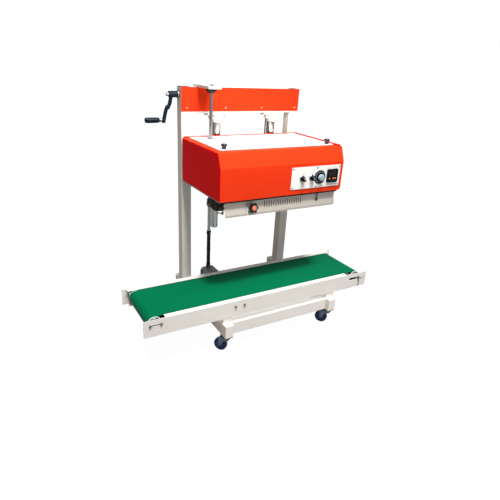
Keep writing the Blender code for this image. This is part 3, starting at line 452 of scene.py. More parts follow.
def pierced_slab(outlines, height):
    """The first outline with the others as holes, filled by Blender's curve fill."""
    curve = bpy.data.curves.new("outline", "CURVE")
    curve.dimensions = "2D"
    curve.fill_mode = "BOTH"
    curve.extrude = height / 2
    for points in outlines:
        spline = curve.splines.new("POLY")
        spline.points.add(len(points) - 1)
        for point, (a, b) in zip(spline.points, points):
            point.co = (a, b, 0, 1)
        spline.use_cyclic_u = True
    holder = bpy.data.objects.new("outline", curve)
    mesh = bpy.data.meshes.new_from_object(holder)
    shape = bmesh.new()
    shape.from_mesh(mesh)
    bpy.data.objects.remove(holder)
    bpy.data.curves.remove(curve)
    bpy.data.meshes.remove(mesh)
    bmesh.ops.remove_doubles(shape, verts=shape.verts, dist=1e-6)
    how = {"angle_limit": 0.01, "use_dissolve_boundaries": False}
    bmesh.ops.dissolve_limit(shape, verts=shape.verts, edges=shape.edges, **how)
    bmesh.ops.translate(shape, vec=(0, 0, height / 2), verts=shape.verts)
    return shape


def is_level(edge):
    first, second = edge.verts
    return abs(first.co.z - second.co.z) < 1e-7


def prism(outline, axis, low, high, r=0.0, steps=2, holes=()):
    """An outline, with holes, pushed along an axis: (y, z) along X, (x, z) along Y, (x, y) along Z."""
    low, high = sorted((low, high))
    height = high - low
    shape = closed(pierced_slab((outline, *holes), height) if holes else plain_slab(outline, height))
    if r:
        soften(shape, r, steps, [edge for edge in shape.edges if is_level(edge)])
    offset = {"X": (low, 0, 0), "Y": (0, high, 0), "Z": (0, 0, low)}[axis]
    return closed(moved(shape, Matrix.Translation(offset) @ PLANES[axis]))


def arc(centre, radius, start, end, steps=8):
    points = []
    for step in range(steps + 1):
        angle = math.radians(start + (end - start) * step / steps)
        points.append((centre[0] + radius * math.cos(angle), centre[1] + radius * math.sin(angle)))
    return points


def round_rect(low, high, r, steps=5):
    corners = ((high[0] - r, high[1] - r), (low[0] + r, high[1] - r))
    corners += ((low[0] + r, low[1] + r), (high[0] - r, low[1] + r))
    points = []
    for quarter, corner in enumerate(corners):
        points += arc(corner, r, 90 * quarter, 90 * quarter + 90, steps)
    return points


def square(x, y, half, r, steps=5):
    return round_rect((x - half, y - half), (x + half, y + half), r, steps)


def circle(centre, radius, steps=32):
    return arc(centre, radius, 0, 360 * (1 - 1 / steps), steps - 1)


def slot_outline(x0, x1, z, half, steps=8):
    return arc((x1 - half, z), half, -90, 90, steps) + arc((x0 + half, z), half, 90, 270, steps)


def stadium(half, radius, centre=(0, 0), steps=36):
    points = arc((centre[0] + half, centre[1]), radius, 90, -90, steps)
    return points + arc((centre[0] - half, centre[1]), radius, -90, -270, steps)


def corner_cut(x, z, radius, steps):
    """What is taken off a lower right corner to round it."""
    out = 0.01
    points = [(x + out, z - out), (x + out, z + radius)]
    return points + arc((x - radius, z + radius), radius, 0, -90, steps) + [(x - radius, z - out)]


def filleted(points, radii, steps=4):
    """The polygon with each corner rounded by its own radius."""
    out = []
    for index, (point, radius) in enumerate(zip(points, radii)):
        here = Vector(point)
        if radius <= 0:
            out.append(tuple(here))
            continue
        before = (Vector(points[index - 1]) - here).normalized()
        after = (Vector(points[(index + 1) % len(points)]) - here).normalized()
        half = before.angle(after) / 2
        cut = radius / math.tan(half)
        centre = here + (before + after).normalized() * (radius / math.sin(half))
        start = here + before * cut - centre
        sweep = start.angle_signed(here + after * cut - centre)
        for step in range(steps + 1):
            turned = Matrix.Rotation(-sweep * step / steps, 2) @ start
            out.append(tuple(centre + turned))
    return out


def wire(points, radius, segments=12, wobble=0.0):
    """A round wire or a weld bead through the points."""
    points = [Vector(p) for p in points]
    rings = []
    side = None
    for index, point in enumerate(points):
        ahead = points[min(index + 1, len(points) - 1)] - points[max(index - 1, 0)]
        ahead.normalize()
        if side is None:
            side = ahead.orthogonal().normalized()
        side = (side - ahead * side.dot(ahead)).normalized()
        other = ahead.cross(side)
        here = radius * (1 + wobble * math.sin(index * 2.1))
        rings.append([point + (side * cosine + other * sine) * here for cosine, sine in around(segments)])
    return skin(rings, ends=True)


def combine(shapes):
    out = bmesh.new()
    for shape in shapes:
        mesh = bpy.data.meshes.new("part")
        shape.to_mesh(mesh)
        out.from_mesh(mesh)
        bpy.data.meshes.remove(mesh)
        shape.free()
    return out


def carve(target, cut):
    """Takes one closed shape out of the target and gives the target its new mesh."""
    tool_mesh = bpy.data.meshes.new("tool")
    cut.to_mesh(tool_mesh)
    cut.free()
    tool = show("tool", tool_mesh)
    boolean = target.modifiers.new("cut", "BOOLEAN")
    boolean.object = tool
    boolean.solver = "EXACT"
    bpy.context.view_layer.update()
    graph = bpy.context.evaluated_depsgraph_get()
    done = bpy.data.meshes.new_from_object(target.evaluated_get(graph))
    target.modifiers.clear()
    target.data = done
    bpy.data.objects.remove(tool)
    return done


def show(name, data):
    made = bpy.data.objects.new(name, data)
    bpy.context.scene.collection.objects.link(made)
    return made


def put(name, shapes, look, body, replaces=(), angle=32, cuts=()):
    """One visible piece, which rides on a body and may stand for CAD nodes."""
    shape = combine(shapes) if isinstance(shapes, (list, tuple)) else shapes
    mesh = bpy.data.meshes.new(name)
    shape.to_mesh(mesh)
    shape.free()
    made = show(name, mesh)
    for cut in cuts:
        mesh = carve(made, cut)
    mesh.materials.clear()
    mesh.materials.append(M[look])
    mesh.shade_smooth()
    mesh.set_sharp_from_angle(angle=math.radians(angle))
    flat = made.modifiers.new("flat_faces", "WEIGHTED_NORMAL")
    flat.keep_sharp = True
    flat.weight = 80
    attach(made, body)
    if replaces:
        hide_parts(*replaces)
    return made


# ------------------------------------------------------------------ fasteners and welds


def hexagon(centre, axis, across, height):
    """A hexagon head with its chamfered top, standing on centre."""
    reach = across / 1.732
    outline = [(reach * cosine, reach * sine) for cosine, sine in around(6, math.radians(12))]
    shape = prism(outline, "Z", 0, height, height * 0.14, 1)
    return moved(shape, Matrix.Translation(centre) @ turn_to(axis))


def bolt(centre, axis, thread=0.006):
    """Hexagon bolt with a washer; centre is on the face it clamps."""
    centre, axis = Vector(centre), Vector(axis).normalized()
    washer = tube(centre, centre + axis * thread * 0.2, thread * 1.1, thread * 0.5, 0.0002, 32)
    head = hexagon(centre + axis * thread * 0.2, axis, thread * 1.65, thread * 0.62)
    dome = rod(centre + axis * thread * 0.8, centre + axis * thread * 0.86, thread * 0.7, thread * 0.05, 32)
    return [washer, head, dome]


def screw(centre, axis, radius=0.004):
    """Pan head screw with a recess."""
    shares = [(0, 0), (1, 0), (0.97, 0.25), (0.8, 0.5), (0.5, 0.62), (0.36, 0.64), (0.2, 0.3), (0, 0.25)]
    return lathe([(radius * a, radius * b) for a, b in shares], centre, axis, 24)


def cross_mark(centre, axis, radius):
    """Painted shade of the cross recess in a screw's head: two dark bars on its top."""
    shapes = []
    low = (-radius * 0.5, -radius * 0.1, radius * 0.45)
    high = (radius * 0.5, radius * 0.1, radius * 0.655)
    for turn in (20, 110):
        shapes.append(moved(box(low, high, 0), Matrix.Translation(centre) @ turn_to(axis) @ spun("Z", turn)))
    return shapes


def screw_heads(group, places, radius, cross, look, body):
    """Screws at (centre, axis) places, and the painted shade of the crosses in their heads."""
    put(f"{group}_screws", [screw(centre, axis, radius) for centre, axis in places], look, body)
    # the crosses are painted shade
    cross_shades = [bar for centre, axis in places for bar in cross_mark(centre, axis, cross)]
    put(f"{group}_screw_cross_shade", cross_shades, "mark", body)


def weld(points):
    return wire(points, 0.0022, 8, 0.22)


def run(start, end, pitch=0.002):
    start, end = Vector(start), Vector(end)
    count = max(2, int((end - start).length / pitch))
    return [start.lerp(end, step / count) for step in range(count + 1)]


def weld_ring(centre, radius, count=70):
    turn = shift(*centre) @ turn_to(UP)
    points = [turn @ Vector((radius * a, radius * b, 0)) for a, b in around(count)]
    return weld([*points, points[0]])


def weld_frame(low, high, z):
    corners = [(low[0], low[1], z), (high[0], low[1], z), (high[0], high[1], z), (low[0], high[1], z)]
    points = []
    for start, end in zip(corners, corners[1:] + corners[:1]):
        points += run(start, end)[:-1]
    return weld([*points, Vector(corners[0])])


# ------------------------------------------------------------------ stand


def span(node):
    low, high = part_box(node)
    return Vector(low), Vector(high)


def middle(node):
    """The centre of the node's box, in full precision."""
    low, high = span(node)
    return Place(*[(a + b) / 2 for a, b in zip(low, high)])


def width_of(node):
    """The node's size along x."""
    low, high = span(node)
    return high.x - low.x


COVER = span("beam_cover")
BASE = span("base_frame")
X_LEFT, X_RIGHT = COVER[0].x, COVER[1].x
TOP = COVER[1].z
POST = 0.060
POSTS = (X_LEFT + POST / 2, X_RIGHT - POST / 2)
POST_Y = middle("cross_shaft").y
POST_FRONT, POST_BACK = POST_Y - POST / 2, POST_Y + POST / 2
POST_LOW = 0.1783
BEAM_LOW = 1.193
SHAFT_Z = JOINTS["crank_turn"]["pos_m"][2]
SPINDLE = Vector(middle("spindle"))
# the two lift stations: the column's x and its lead screw's x
COLUMNS = [(middle(f"guide_column_{side}").x, middle(f"lead_screw_{side}").x) for side in SIDES]


def upright(x, name):
    outline = square(x, POST_Y, POST / 2, 0.005)
    tube_shape = prism(outline, "Z", POST_LOW, TOP - 0.0024)
    seam = weld_frame((x - POST / 2, POST_FRONT), (x + POST / 2, POST_BACK), POST_LOW + 0.001)
    return put(name, [tube_shape, seam], "cream", "stand")


def beam():
    """The channel behind the cover, welded between the posts."""
    low_x, high_x = X_LEFT + POST + 0.0002, X_RIGHT - POST - 0.0002
    front, back = POST_FRONT + 0.001, POST_BACK - 0.002
    plates = []
    for low_y, low_z, high_y, high_z in (
        (front, TOP - 0.0045, back, TOP - 0.0004),
        (front, BEAM_LOW, back, BEAM_LOW + 0.004),
        (back - 0.004, BEAM_LOW + 0.001, back, TOP - 0.001),
        (POST_FRONT + 0.0003, BEAM_LOW + 0.0005, POST_FRONT + 0.004, BEAM_LOW + 0.026),
    ):
        plates.append(box((low_x, low_y, low_z), (high_x, high_y, high_z), 0.0012))
    for x in (low_x, high_x):
        for y in (POST_FRONT + 0.004, POST_BACK - 0.003):
            plates.append(weld(run((x, y, BEAM_LOW + 0.004), (x, y, TOP - 0.006))))
    return put("top_beam", plates, "cream", "stand")


def column_sockets():
    """A flange, two collars and a weld under the beam at each lift station."""
    sockets = []
    bolts = []
    under = BEAM_LOW - 0.012
    for x, screw_x in COLUMNS:
        flange = round_rect((screw_x - 0.035, POST_Y - 0.027), (x + 0.045, POST_Y + 0.027), 0.006)
        sockets.append(prism(flange, "Z", under, BEAM_LOW - 0.0002, 0.0012))
        sockets.append(tube((x, POST_Y, 1.141), (x, POST_Y, 1.182), 0.0315, 0.0227, 0.0015, 64))
        sockets.append(tube((screw_x, POST_Y, 1.158), (screw_x, POST_Y, 1.182), 0.016, 0.0096, 0.001, 48))
        sockets.append(weld_ring((x, POST_Y, 1.1805), 0.032))
        for bolt_x in (screw_x - 0.026, x + 0.038):
            for bolt_y in (POST_Y - 0.019, POST_Y + 0.019):
                bolts += bolt((bolt_x, bolt_y, under), DOWN, 0.005)
        bolts.append(hexagon((x + 0.0315, POST_Y, 1.160), RIGHT, 0.008, 0.004))
    collars = put("column_sockets", sockets, "cream", "stand")
    put("socket_bolts", bolts, "bolt", "stand")
    return collars


def beam_cover():
    low, high = COVER
    sheet = box(low, high, 0.0012, 3)
    hem_low = (low.x + 0.001, low.y + 0.0004, low.z - 0.0001)
    hem_high = (high.x - 0.001, high.y, low.z + 0.004)
    put("beam_cover_panel", [sheet, box(hem_low, hem_high, 0.0008)], "red", "stand", ["beam_cover"])
    pitch = (high.x - low.x - 0.058) / 3
    places = [((low.x + 0.032 + step * pitch, low.y, low.z + 0.018), FRONT) for step in range(4)]
    screw_heads("beam_cover", places, 0.0048, 0.0036, "pale", "stand")


def stand_top():
    pieces = [upright(x, f"{side}_post") for x, side in zip(POSTS, SIDES)]
    for x, side in zip(POSTS, SIDES):
        plug = prism(square(x, POST_Y, POST / 2 - 0.0006, 0.005), "Z", TOP - 0.0023, TOP, 0.0008)
        put(f"{side}_post_cap", plug, "black", "stand")
    pieces += [beam(), column_sockets()]
    for piece in pieces:
        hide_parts("mast_frame")
    beam_cover()


def columns():
    for side, (x, _) in zip(SIDES, COLUMNS):
        node = f"guide_column_{side}"
        radius = width_of(node) / 2
        low, high = (corner.z for corner in span(node))
        profile = [(0, low), (radius - 0.004, low), (radius - 0.001, low + 0.0015), (radius, low + 0.004)]
        profile += [(radius, high), (0, high)]
        put(f"column_{side}", lathe(profile, (x, POST_Y, 0), segments=96), "chrome", "stand", [node])


def threaded(x, low, high, radius, pitch=0.004, depth=0.0011):
    """A trapezoidal thread as one spiral skin."""
    count = 28
    rows = int((high - low) / pitch * 4)
    rings = []
    for row in range(rows + 1):
        height = low + (high - low) * row / rows
        ring = []
        for step, (cosine, sine) in enumerate(around(count)):
            phase = (height / pitch - step / count) % 1.0
            wave = abs(2 * phase - 1) * 2 - 0.5
            reach = radius - depth * (1 - min(1.0, max(0.0, wave)))
            ring.append((x + reach * cosine, POST_Y + reach * sine, height))
        rings.append(ring)
    return skin(rings, ends=True)


def mitre(apex, axis, turn):
    """A 20 tooth mitre gear whose pitch cone ends at the apex."""
    rings = []
    for reach, height in ((0.0121, 0.0122), (0.0196, 0.0198), (0.0182, 0.0228)):
        ring = []
        for step, (cosine, sine) in enumerate(around(80, turn)):
            tooth = reach + (0.0 if step % 4 < 2 else -0.0026 * reach / 0.0196)
            ring.append((tooth * cosine, tooth * sine, height))
        rings.append(ring)
    apex, axis = Vector(apex), Vector(axis)
    teeth = moved(skin(rings, ends=True), Matrix.Translation(apex) @ turn_to(axis))
    return combine([teeth, tube(apex + axis * 0.022, apex + axis * 0.029, 0.014, 0.0086, 0.0006, 40)])


def lift_screws():
    for side, (_, x) in zip(SIDES, COLUMNS):
        low = span(f"lead_screw_{side}")[0].z
        bars = [threaded(x, low + 0.014, 1.199, 0.0088)]
        for start, end, radius, edge in (
            (low, low + 0.0142, 0.0074, 0.0006),
            (1.1985, 1.262, 0.0088, 0.0006),
            (1.198, 1.2035, 0.014, 0.0008),
        ):
            bars.append(rod((x, POST_Y, start), (x, POST_Y, end), radius, edge))
        put(f"lift_screw_{side}", bars, "thread", f"screw_{side}", [f"lead_screw_{side}"], 40)
        put(f"mitre_gear_{side}", mitre((x, POST_Y, SHAFT_Z), DOWN, 0.0), "zinc", f"screw_{side}")


def spindle_support():
    low, high = span("spindle_bracket")
    x, y = SPINDLE.x, SPINDLE.y
    outline = round_rect((low.x, low.y), (high.x, high.y), 0.005)
    plate = prism(outline, "Z", low.z, high.z, 0.001, 2, [circle((x, y), 0.014, 40)])
    put("bracket_plate", plate, "cream", "stand", ["spindle_bracket"])
    heads = []
    for bolt_x in (x - 0.022, x + 0.022):
        heads += bolt((bolt_x, 0.254, high.z), UP, 0.0052)
    for screw_x, screw_y in ((x - 0.018, 0.111), (x + 0.018, 0.147)):
        heads.append(screw((screw_x, screw_y, high.z), UP, 0.0042))
    put("bracket_bolts", heads, "bright", "stand")
    low, high = span("spindle_bearing")
    radius = (high.x - low.x) / 2
    inner = 0.0094
    profile = [(inner, low.z), (0.0195, low.z), (0.0205, low.z + 0.0008), (0.0215, low.z + 0.005)]
    profile += [(0.024, low.z + 0.008), (radius - 0.001, low.z + 0.0105), (radius, low.z + 0.012)]
    profile += [(radius, high.z - 0.001), (radius - 0.001, high.z), (inner, high.z)]
    put("bearing_flange", [lathe(profile, (x, y, 0), segments=72)], "bearing", "stand", ["spindle_bearing"])
    ring = [(inner, -0.0012), (0.0165, -0.0012), (0.0165, 0), (inner, 0)]
    put("bearing_seal", lathe(ring, (x, y, low.z)), "zinc", "stand")


def base():
    half = 0.023
    leg_low, leg_top = 0.1004, 0.174
    shapes = []
    feet = []
    front, back = BASE[0].y, BASE[1].y
    rail_front, rail_back = span("conveyor_rail_front")[0].y, span("conveyor_rail_rear")[1].y
    for x in POSTS:
        outline = round_rect((x - half, leg_low), (x + half, leg_top), 0.004)
        shapes.append(prism(outline, "Y", front + 0.06, back - 0.06))
        for edge, inside in ((front, front + 0.067), (back, back - 0.067)):
            block = box((x - 0.025, edge, leg_low - 0.0002), (x + 0.025, inside, leg_top + 0.004), 0.0045, 4)
            shapes.append(block)
        for y in (rail_front + 0.016, rail_back - 0.016):
            low, high = (x - 0.022, y - 0.014, leg_top - 0.002), (x + 0.034, y + 0.014, 0.2067)
            feet.append(box(low, high, 0.0025, 3))
            feet.append(weld_frame(low, high, leg_top + 0.0008))
    tube_width = 0.050
    low_x, high_x = POSTS[0] + half - 0.002, POSTS[1] - half + 0.002
    for low_y in (front + 0.032, POST_Y - 0.025):
        high_y = low_y + tube_width
        outline = round_rect((low_y, leg_low + 0.0001), (high_y, leg_top - 0.0001), 0.004)
        shapes.append(prism(outline, "X", low_x, high_x))
        for x in (low_x + 0.002, high_x - 0.002):
            for y in (low_y, high_y):
                shapes.append(weld(run((x, y, leg_low + 0.006), (x, y, leg_top - 0.006))))
            shapes.append(weld(run((x, low_y + 0.003, leg_top), (x, high_y - 0.003, leg_top))))
    put("base_legs", shapes, "cream", "stand", ["base_frame"])
    put("conveyor_feet", feet, "cream", "stand", ["base_frame"])


# ------------------------------------------------------------------ castors

TREAD = [(0.0265, -0.0100), (0.0295, -0.012), (0.0345, -0.012), (0.0366, -0.0108), (0.0375, -0.008)]
RIM = [(0.0054, -0.012), (0.0105, -0.012), (0.012, -0.009), (0.0245, -0.0075), (0.0266, -0.010)]
RACE = [(0, 0.0846), (0.023, 0.0846), (0.0245, 0.0862), (0.0245, 0.0885), (0.0215, 0.0905)]
RACE += [(0.0225, 0.0925), (0.0215, 0.0948), (0.012, 0.0965), (0, 0.0965)]
LEG = [(-0.0195, 0.0842), (-0.0195, 0.078), (0.014, 0.062), (0.026, 0.031), (0.044, 0.031), (0.0425, 0.0842)]
LEG_RADII = [0, 0.004, 0.010, 0.008, 0.008, 0]


def both_ways(profile):
    """A profile and its mirror image across height 0."""
    return profile + [(radius, -height) for radius, height in reversed(profile)]


def castor_fork(trail, z):
    inner = 0.0136
    shapes = []
    for low in (-inner - 0.0024, inner):
        shapes.append(prism(filleted(LEG, LEG_RADII), "Y", low, low + 0.0024, 0.0006, 1))
    shapes.append(box((-0.0195, -inner - 0.0022, 0.0822), (0.0425, inner + 0.0022, 0.0846)))
    shapes.append(lathe(RACE))
    shapes.append(rod((trail, -inner - 0.006, z), (trail, inner + 0.006, z), 0.005))
    for side in (-1, 1):
        shapes.append(hexagon((trail, side * (inner + 0.0024), z), (0, side, 0), 0.013, 0.0036))
    return combine(shapes)


def wheel_core(trail, z):
    half = 0.012
    shapes = [lathe(both_ways(RIM), (trail, 0, z), BACK, 72)]
    for step in range(6):
        rib = box((0.011, -half + 0.0015, -0.0013), (0.0255, half - 0.0015, 0.0013), 0.0005, 1)
        shapes.append(moved(rib, shift(trail, 0, z) @ spun("Y", 60 * step + 20)))
    return combine(shapes)


def castors():
    plate_low = 0.0973
    for place in ("front_left", "front_right", "rear_left", "rear_right"):
        fork, wheel = f"castor_fork_{place}", f"castor_wheel_{place}"
        pivot = Vector(JOINTS[f"castor_swivel_{place}"]["pos_m"])
        hub = Vector(JOINTS[f"castor_spin_{place}"]["pos_m"])
        away = Vector((hub.x - pivot.x, hub.y - pivot.y))
        stand_at = shift(pivot.x, pivot.y, 0)
        turn = stand_at @ Matrix.Rotation(math.atan2(away.y, away.x), 4, "Z")
        trail = away.length
        put(f"fork_{place}", moved(castor_fork(trail, hub.z), turn), "fork", fork, [fork])
        tyre = lathe(both_ways(TREAD), (trail, 0, hub.z), BACK, 72)
        put(f"tyre_{place}", moved(tyre, turn), "blue", wheel, [wheel])
        put(f"wheel_hub_{place}", moved(wheel_core(trail, hub.z), turn), "hub", wheel)
        plate = [box((-0.024, -0.030, plate_low), (0.024, 0.030, 0.1001), 0.0008)]
        for x in (-0.0185, 0.0185):
            for y in (-0.0245, 0.0245):
                plate.append(hexagon((x, y, plate_low), DOWN, 0.009, 0.0036))
        put(f"castor_plate_{place}", moved(combine(plate), stand_at), "zinc", "stand")


# ------------------------------------------------------------------ crank

GRIP_Z = 1.156
HUB = [(0.0094, 0), (0.0150, 0), (0.0162, 0.0012), (0.0165, 0.004), (0.0165, 0.042), (0.0155, 0.0452)]
HUB += [(0.0115, 0.046), (0, 0.046)]
KNEE = [(0, -0.0106), (0.0088, -0.0106), (0.0104, -0.009), (0.0108, 0), (0.0104, 0.009), (0.0088, 0.0106)]
KNEE += [(0, 0.0106)]
GRIP = [(0.0055, -0.487), (0.0085, -0.487), (0.0115, -0.4855), (0.0135, -0.4815), (0.0143, -0.474)]
GRIP += [(0.0145, -0.455), (0.0143, -0.432), (0.0137, -0.4165), (0.0125, -0.4115), (0.0105, -0.4092)]
GRIP += [(0.0055, -0.4092)]
GRIP_COLLAR = [(0.0055, -0.4088), (0.0090, -0.4088), (0.0096, -0.4075), (0.0096, -0.3975)]
GRIP_COLLAR += [(0.009, -0.3963), (0.0055, -0.3963)]
WASHER = [(0.0094, -0.3065), (0.0185, -0.3065), (0.0185, -0.2986), (0.0094, -0.2986)]


def eased(path):
    """The path with six points to each stretch, on a Catmull-Rom curve."""
    fine = []
    for index in range(len(path) - 1):
        before = Vector(path[max(index - 1, 0)])
        start, end = Vector(path[index]), Vector(path[index + 1])
        after = Vector(path[min(index + 2, len(path) - 1)])
        for step in range(6):
            t = step / 6
            bend = (2 * before - 5 * start + 4 * end - after) * t * t
            twist = (3 * start - before - 3 * end + after) * t**3
            fine.append(0.5 * (2 * start + (end - before) * t + bend + twist))
    return [*fine, Vector(path[-1])]


def strap(path, half_width, half_thick):
    """A forged strap with rounded edges, swept along a path of (x, z) points."""
    fine = eased(path)
    section = round_rect((-half_width, -half_thick), (half_width, half_thick), half_thick * 0.6, 4)
    rings = []
    for index, point in enumerate(fine):
        ahead = (fine[min(index + 1, len(fine) - 1)] - fine[max(index - 1, 0)]).normalized()
        side = Vector((-ahead.y, ahead.x))
        rings.append([(point.x + side.x * b, POST_Y + a, point.y + side.y * b) for a, b in section])
    return skin(rings, ends=True)


def crank():
    y, z = POST_Y, SHAFT_Z
    path = [(-0.3395, z - 0.004), (-0.3420, z - 0.022), (-0.3470, 1.243), (-0.3530, 1.229), (-0.3655, 1.215)]
    path += [(-0.3705, 1.203), (-0.3775, 1.176), (-0.3830, 1.150), (-0.3840, 1.142)]
    arm = [lathe(HUB, (-0.307, y, z), LEFT, 72), strap(path, 0.0100, 0.0084)]
    arm.append(lathe(KNEE, (-0.3600, y, 1.2210), BACK, 40))
    arm.append(rod((-0.3915, y, GRIP_Z), (-0.3765, y, GRIP_Z), 0.0095, 0.002))
    put("crank_arm_casting", arm, "crank", "crank", ["crank_arm"], 40)
    put("crank_cap", rod((-0.3662, y, z), (-0.352, y, z), 0.009, 0.0018), "zinc", "crank")
    put("crank_washer", lathe(WASHER, (0, y, z), RIGHT), "chassis", "crank")
    put("crank_pin", rod((-0.478, y, GRIP_Z), (-0.385, y, GRIP_Z), 0.005), "zinc", "crank")
    put("crank_handle", lathe(GRIP, (0, y, GRIP_Z), RIGHT, 72), "crank", "grip", ["crank_grip"], 50)
    put("crank_handle_collar", lathe(GRIP_COLLAR, (0, y, GRIP_Z), RIGHT, 48), "zinc", "grip")
    shaft = [rod((-0.344, y, z), (span("cross_shaft")[1].x, y, z), 0.009)]
    for _, x in COLUMNS:
        shaft.append(mitre((x, y, z), RIGHT, math.pi / 20))
    put("lift_cross_shaft", shaft, "thread", "crank", ["cross_shaft"])


# ------------------------------------------------------------------ spindle, gearbox


def knuckle(x, y, z, side):
    """Half of a universal joint: a round boss that forks towards z."""
    shapes = [rod((x, y, z + side * 0.0125), (x, y, z + side * 0.0055), 0.0125, 0.001)]
    for offset in (-1, 1):
        ear = box((-0.0058, offset * 0.0055, 0), (0.0058, offset * 0.0118, side * 0.0065), 0.0012)
        shapes.append(moved(ear, shift(x, y, z) @ spun("Z", 90 if side > 0 else 0)))
    return shapes


def spindle():
    low, high = span("spindle")
    x, y = SPINDLE.x, SPINDLE.y
    profile = [(0, low.z), (0.0082, low.z), (0.009, low.z + 0.001), (0.009, high.z - 0.0015)]
    profile += [(0.0075, high.z), (0, high.z)]
    shaft = lathe(profile, (x, y, 0), segments=72)
    put("spindle_shaft", shaft, "spindle", "spindle", ["spindle"])
    key = box((x - 0.0016, y - 0.0092, 0.62), (x + 0.0016, y - 0.0080, 1.28), 0.0003, 1)
    put("spindle_key", key, "zinc", "spindle")
    put("spindle_nut", hexagon((x, y, TOP + 0.0138), UP, 0.023, 0.0058), "zinc", "spindle")
    lower, upper = 0.317, 0.5277
    profile = [(0, lower + 0.013), (0.0100, lower + 0.013), (0.011, lower + 0.0145), (0.011, 0.418)]
    profile += [(0.0117, 0.4185), (0.0117, 0.4305), (0.011, 0.431), (0.011, upper - 0.0145)]
    profile += [(0.0100, upper - 0.013), (0, upper - 0.013)]
    sleeve = ["drive_sleeve"]
    put("sleeve_tube", lathe(profile, (x, y, 0), segments=72), "sleeve", "spindle", sleeve)
    joints = []
    pins = []
    for z in (lower, upper):
        joints += knuckle(x, y, z, -1) + knuckle(x, y, z, 1)
        centre = Vector((x, y, z))
        half = Vector((0.0055, 0.0055, 0.0055))
        joints.append(box(centre - half, centre + half, 0.001))
        pins.append(rod((x - 0.0145, y, z), (x + 0.0145, y, z), 0.0036, 0.0008, 24))
        pins.append(rod((x, y - 0.0145, z), (x, y + 0.0145, z), 0.0036, 0.0008, 24))
        pins.append(rod((x - 0.0132, y, z + 0.0095), (x + 0.0132, y, z + 0.0095), 0.0022, 0.0005, 20))
    put("universal_joints", joints, "bearing", "spindle", sleeve)
    put("joint_pins", pins, "zinc", "spindle")
    stub = rod((x, y, span("drive_sleeve")[0].z), (x, y, lower - 0.012), 0.0085)
    put("gearbox_input_shaft", stub, "sleeve", "spindle", sleeve)


def gearbox():
    x, y = SPINDLE.x, SPINDLE.y
    drive = middle("drive_roller")
    worm_z = 0.248
    outline = [(-0.209, 0.212), (-0.209, 0.282), (-0.194, 0.2985)]
    outline += [(-0.129, 0.2985), (-0.121, 0.2905), (-0.121, 0.212)]
    radii = [0.006, 0.008, 0.008, 0.005, 0.005, 0.006]
    shapes = [prism(filleted(outline, radii, 5), "Y", 0.070, 0.152, 0.005, 4)]
    for front, back in ((0.064, 0.072), (0.150, 0.158)):
        shapes.append(rod((x, front, worm_z), (x, back, worm_z), 0.034, 0.0015, 64))
    for step in range(5):
        fin_y = 0.084 + step * 0.0135
        shapes.append(box((-0.2104, fin_y - 0.0015, 0.218), (-0.1196, fin_y + 0.0015, 0.2445)))
    shapes.append(tube((drive.x, 0.0492, drive.z), (drive.x, 0.068, drive.z), 0.021, 0.0085, 0.001))
    shapes.append(tube((x, y, 0.298), (x, y, 0.3035), 0.017, 0.009, 0.001, 64))
    put("gearbox_casting", shapes, "cast", "stand", ["conveyor_gearbox"])
    heads = []
    for cosine, sine in around(6, math.radians(30)):
        for face_y, axis in ((0.064, FRONT), (0.158, BACK)):
            centre = (x + 0.028 * cosine, face_y, worm_z + 0.028 * sine)
            heads.append(hexagon(centre, axis, 0.008, 0.0034))
    put("gearbox_bolts", heads, "bolt", "stand")
    plug = hexagon((-0.2100, 0.122, 0.2790), LEFT, 0.018, 0.005)
    boss = rod((-0.1990, 0.122, 0.2790), (-0.2110, 0.122, 0.2790), 0.0130)
    put("gearbox_oil_plug", [plug, boss], "teal", "stand")


# ------------------------------------------------------------------ conveyor

BELT = span("conveyor_belt")
BELT_Z = middle("conveyor_belt").z


def rail_web(name, node, face, inward):
    """The rail's sheet with its take-up slots and its folded lips."""
    low, high = span(node)
    end = high.x
    slots = [slot_outline(-0.692, -0.635, 0.2685, 0.0034), slot_outline(0.586, 0.650, 0.2685, 0.0080)]
    outline = round_rect((-end, low.z), (end, high.z), 0.0045, 6)
    shapes = [prism(outline, "Y", face, face + inward * 0.003, 0.0008, 2, slots)]
    lip_from, lip_to = face + inward * 0.0012, face + inward * 0.032
    upper = (-0.610, 0.566) if inward > 0 else (-0.700, 0.700)
    shapes.append(box((upper[0], lip_from, high.z - 0.003), (upper[1], lip_to, high.z), 0.0013, 3))
    shapes.append(box((-0.700, lip_from, low.z), (0.700, lip_to, low.z + 0.003), 0.0013, 3))
    put(name, shapes, "cream", "stand", [node])
    # painted shade: a dark box just behind the take-up slot, where the rail's inside is in shade
    slot_shade_box = box((0.578, face + inward * 0.0033, 0.252), (0.6325, face + inward * 0.0045, 0.285), 0.0004, 1)
    put(f"{name}_painted_slot_shade", slot_shade_box, "recess", "stand")


def rail_bearings(name, node, face, inward):
    """The end rollers' bearing blocks; returns their metal parts, which come last."""
    end = span(node)[1].x
    blocks = []
    metal = []
    inner_y, mid_y, z = face + inward * 0.016, face + inward * 0.0095, 0.2585
    for sign in (-1, 1):
        x = sign * 0.657
        block_low = (x - 0.024, face + inward * 0.0026, 0.2385)
        blocks.append(box(block_low, (x + 0.024, inner_y, 0.2785), 0.0025, 3))
        metal.append(rod((x + sign * 0.024, mid_y, z), (sign * (end - 0.030), mid_y, z), 0.0038))
        metal.append(hexagon((sign * (end - 0.034), mid_y, z), (sign, 0, 0), 0.010, 0.005))
        metal.append(tube((x, inner_y, z), (x, inner_y + inward * 0.0008, z), 0.015, 0.0088, 0.0002))
    put(f"{name}_bearing_blocks", blocks, "black", "stand", [node])
    return metal


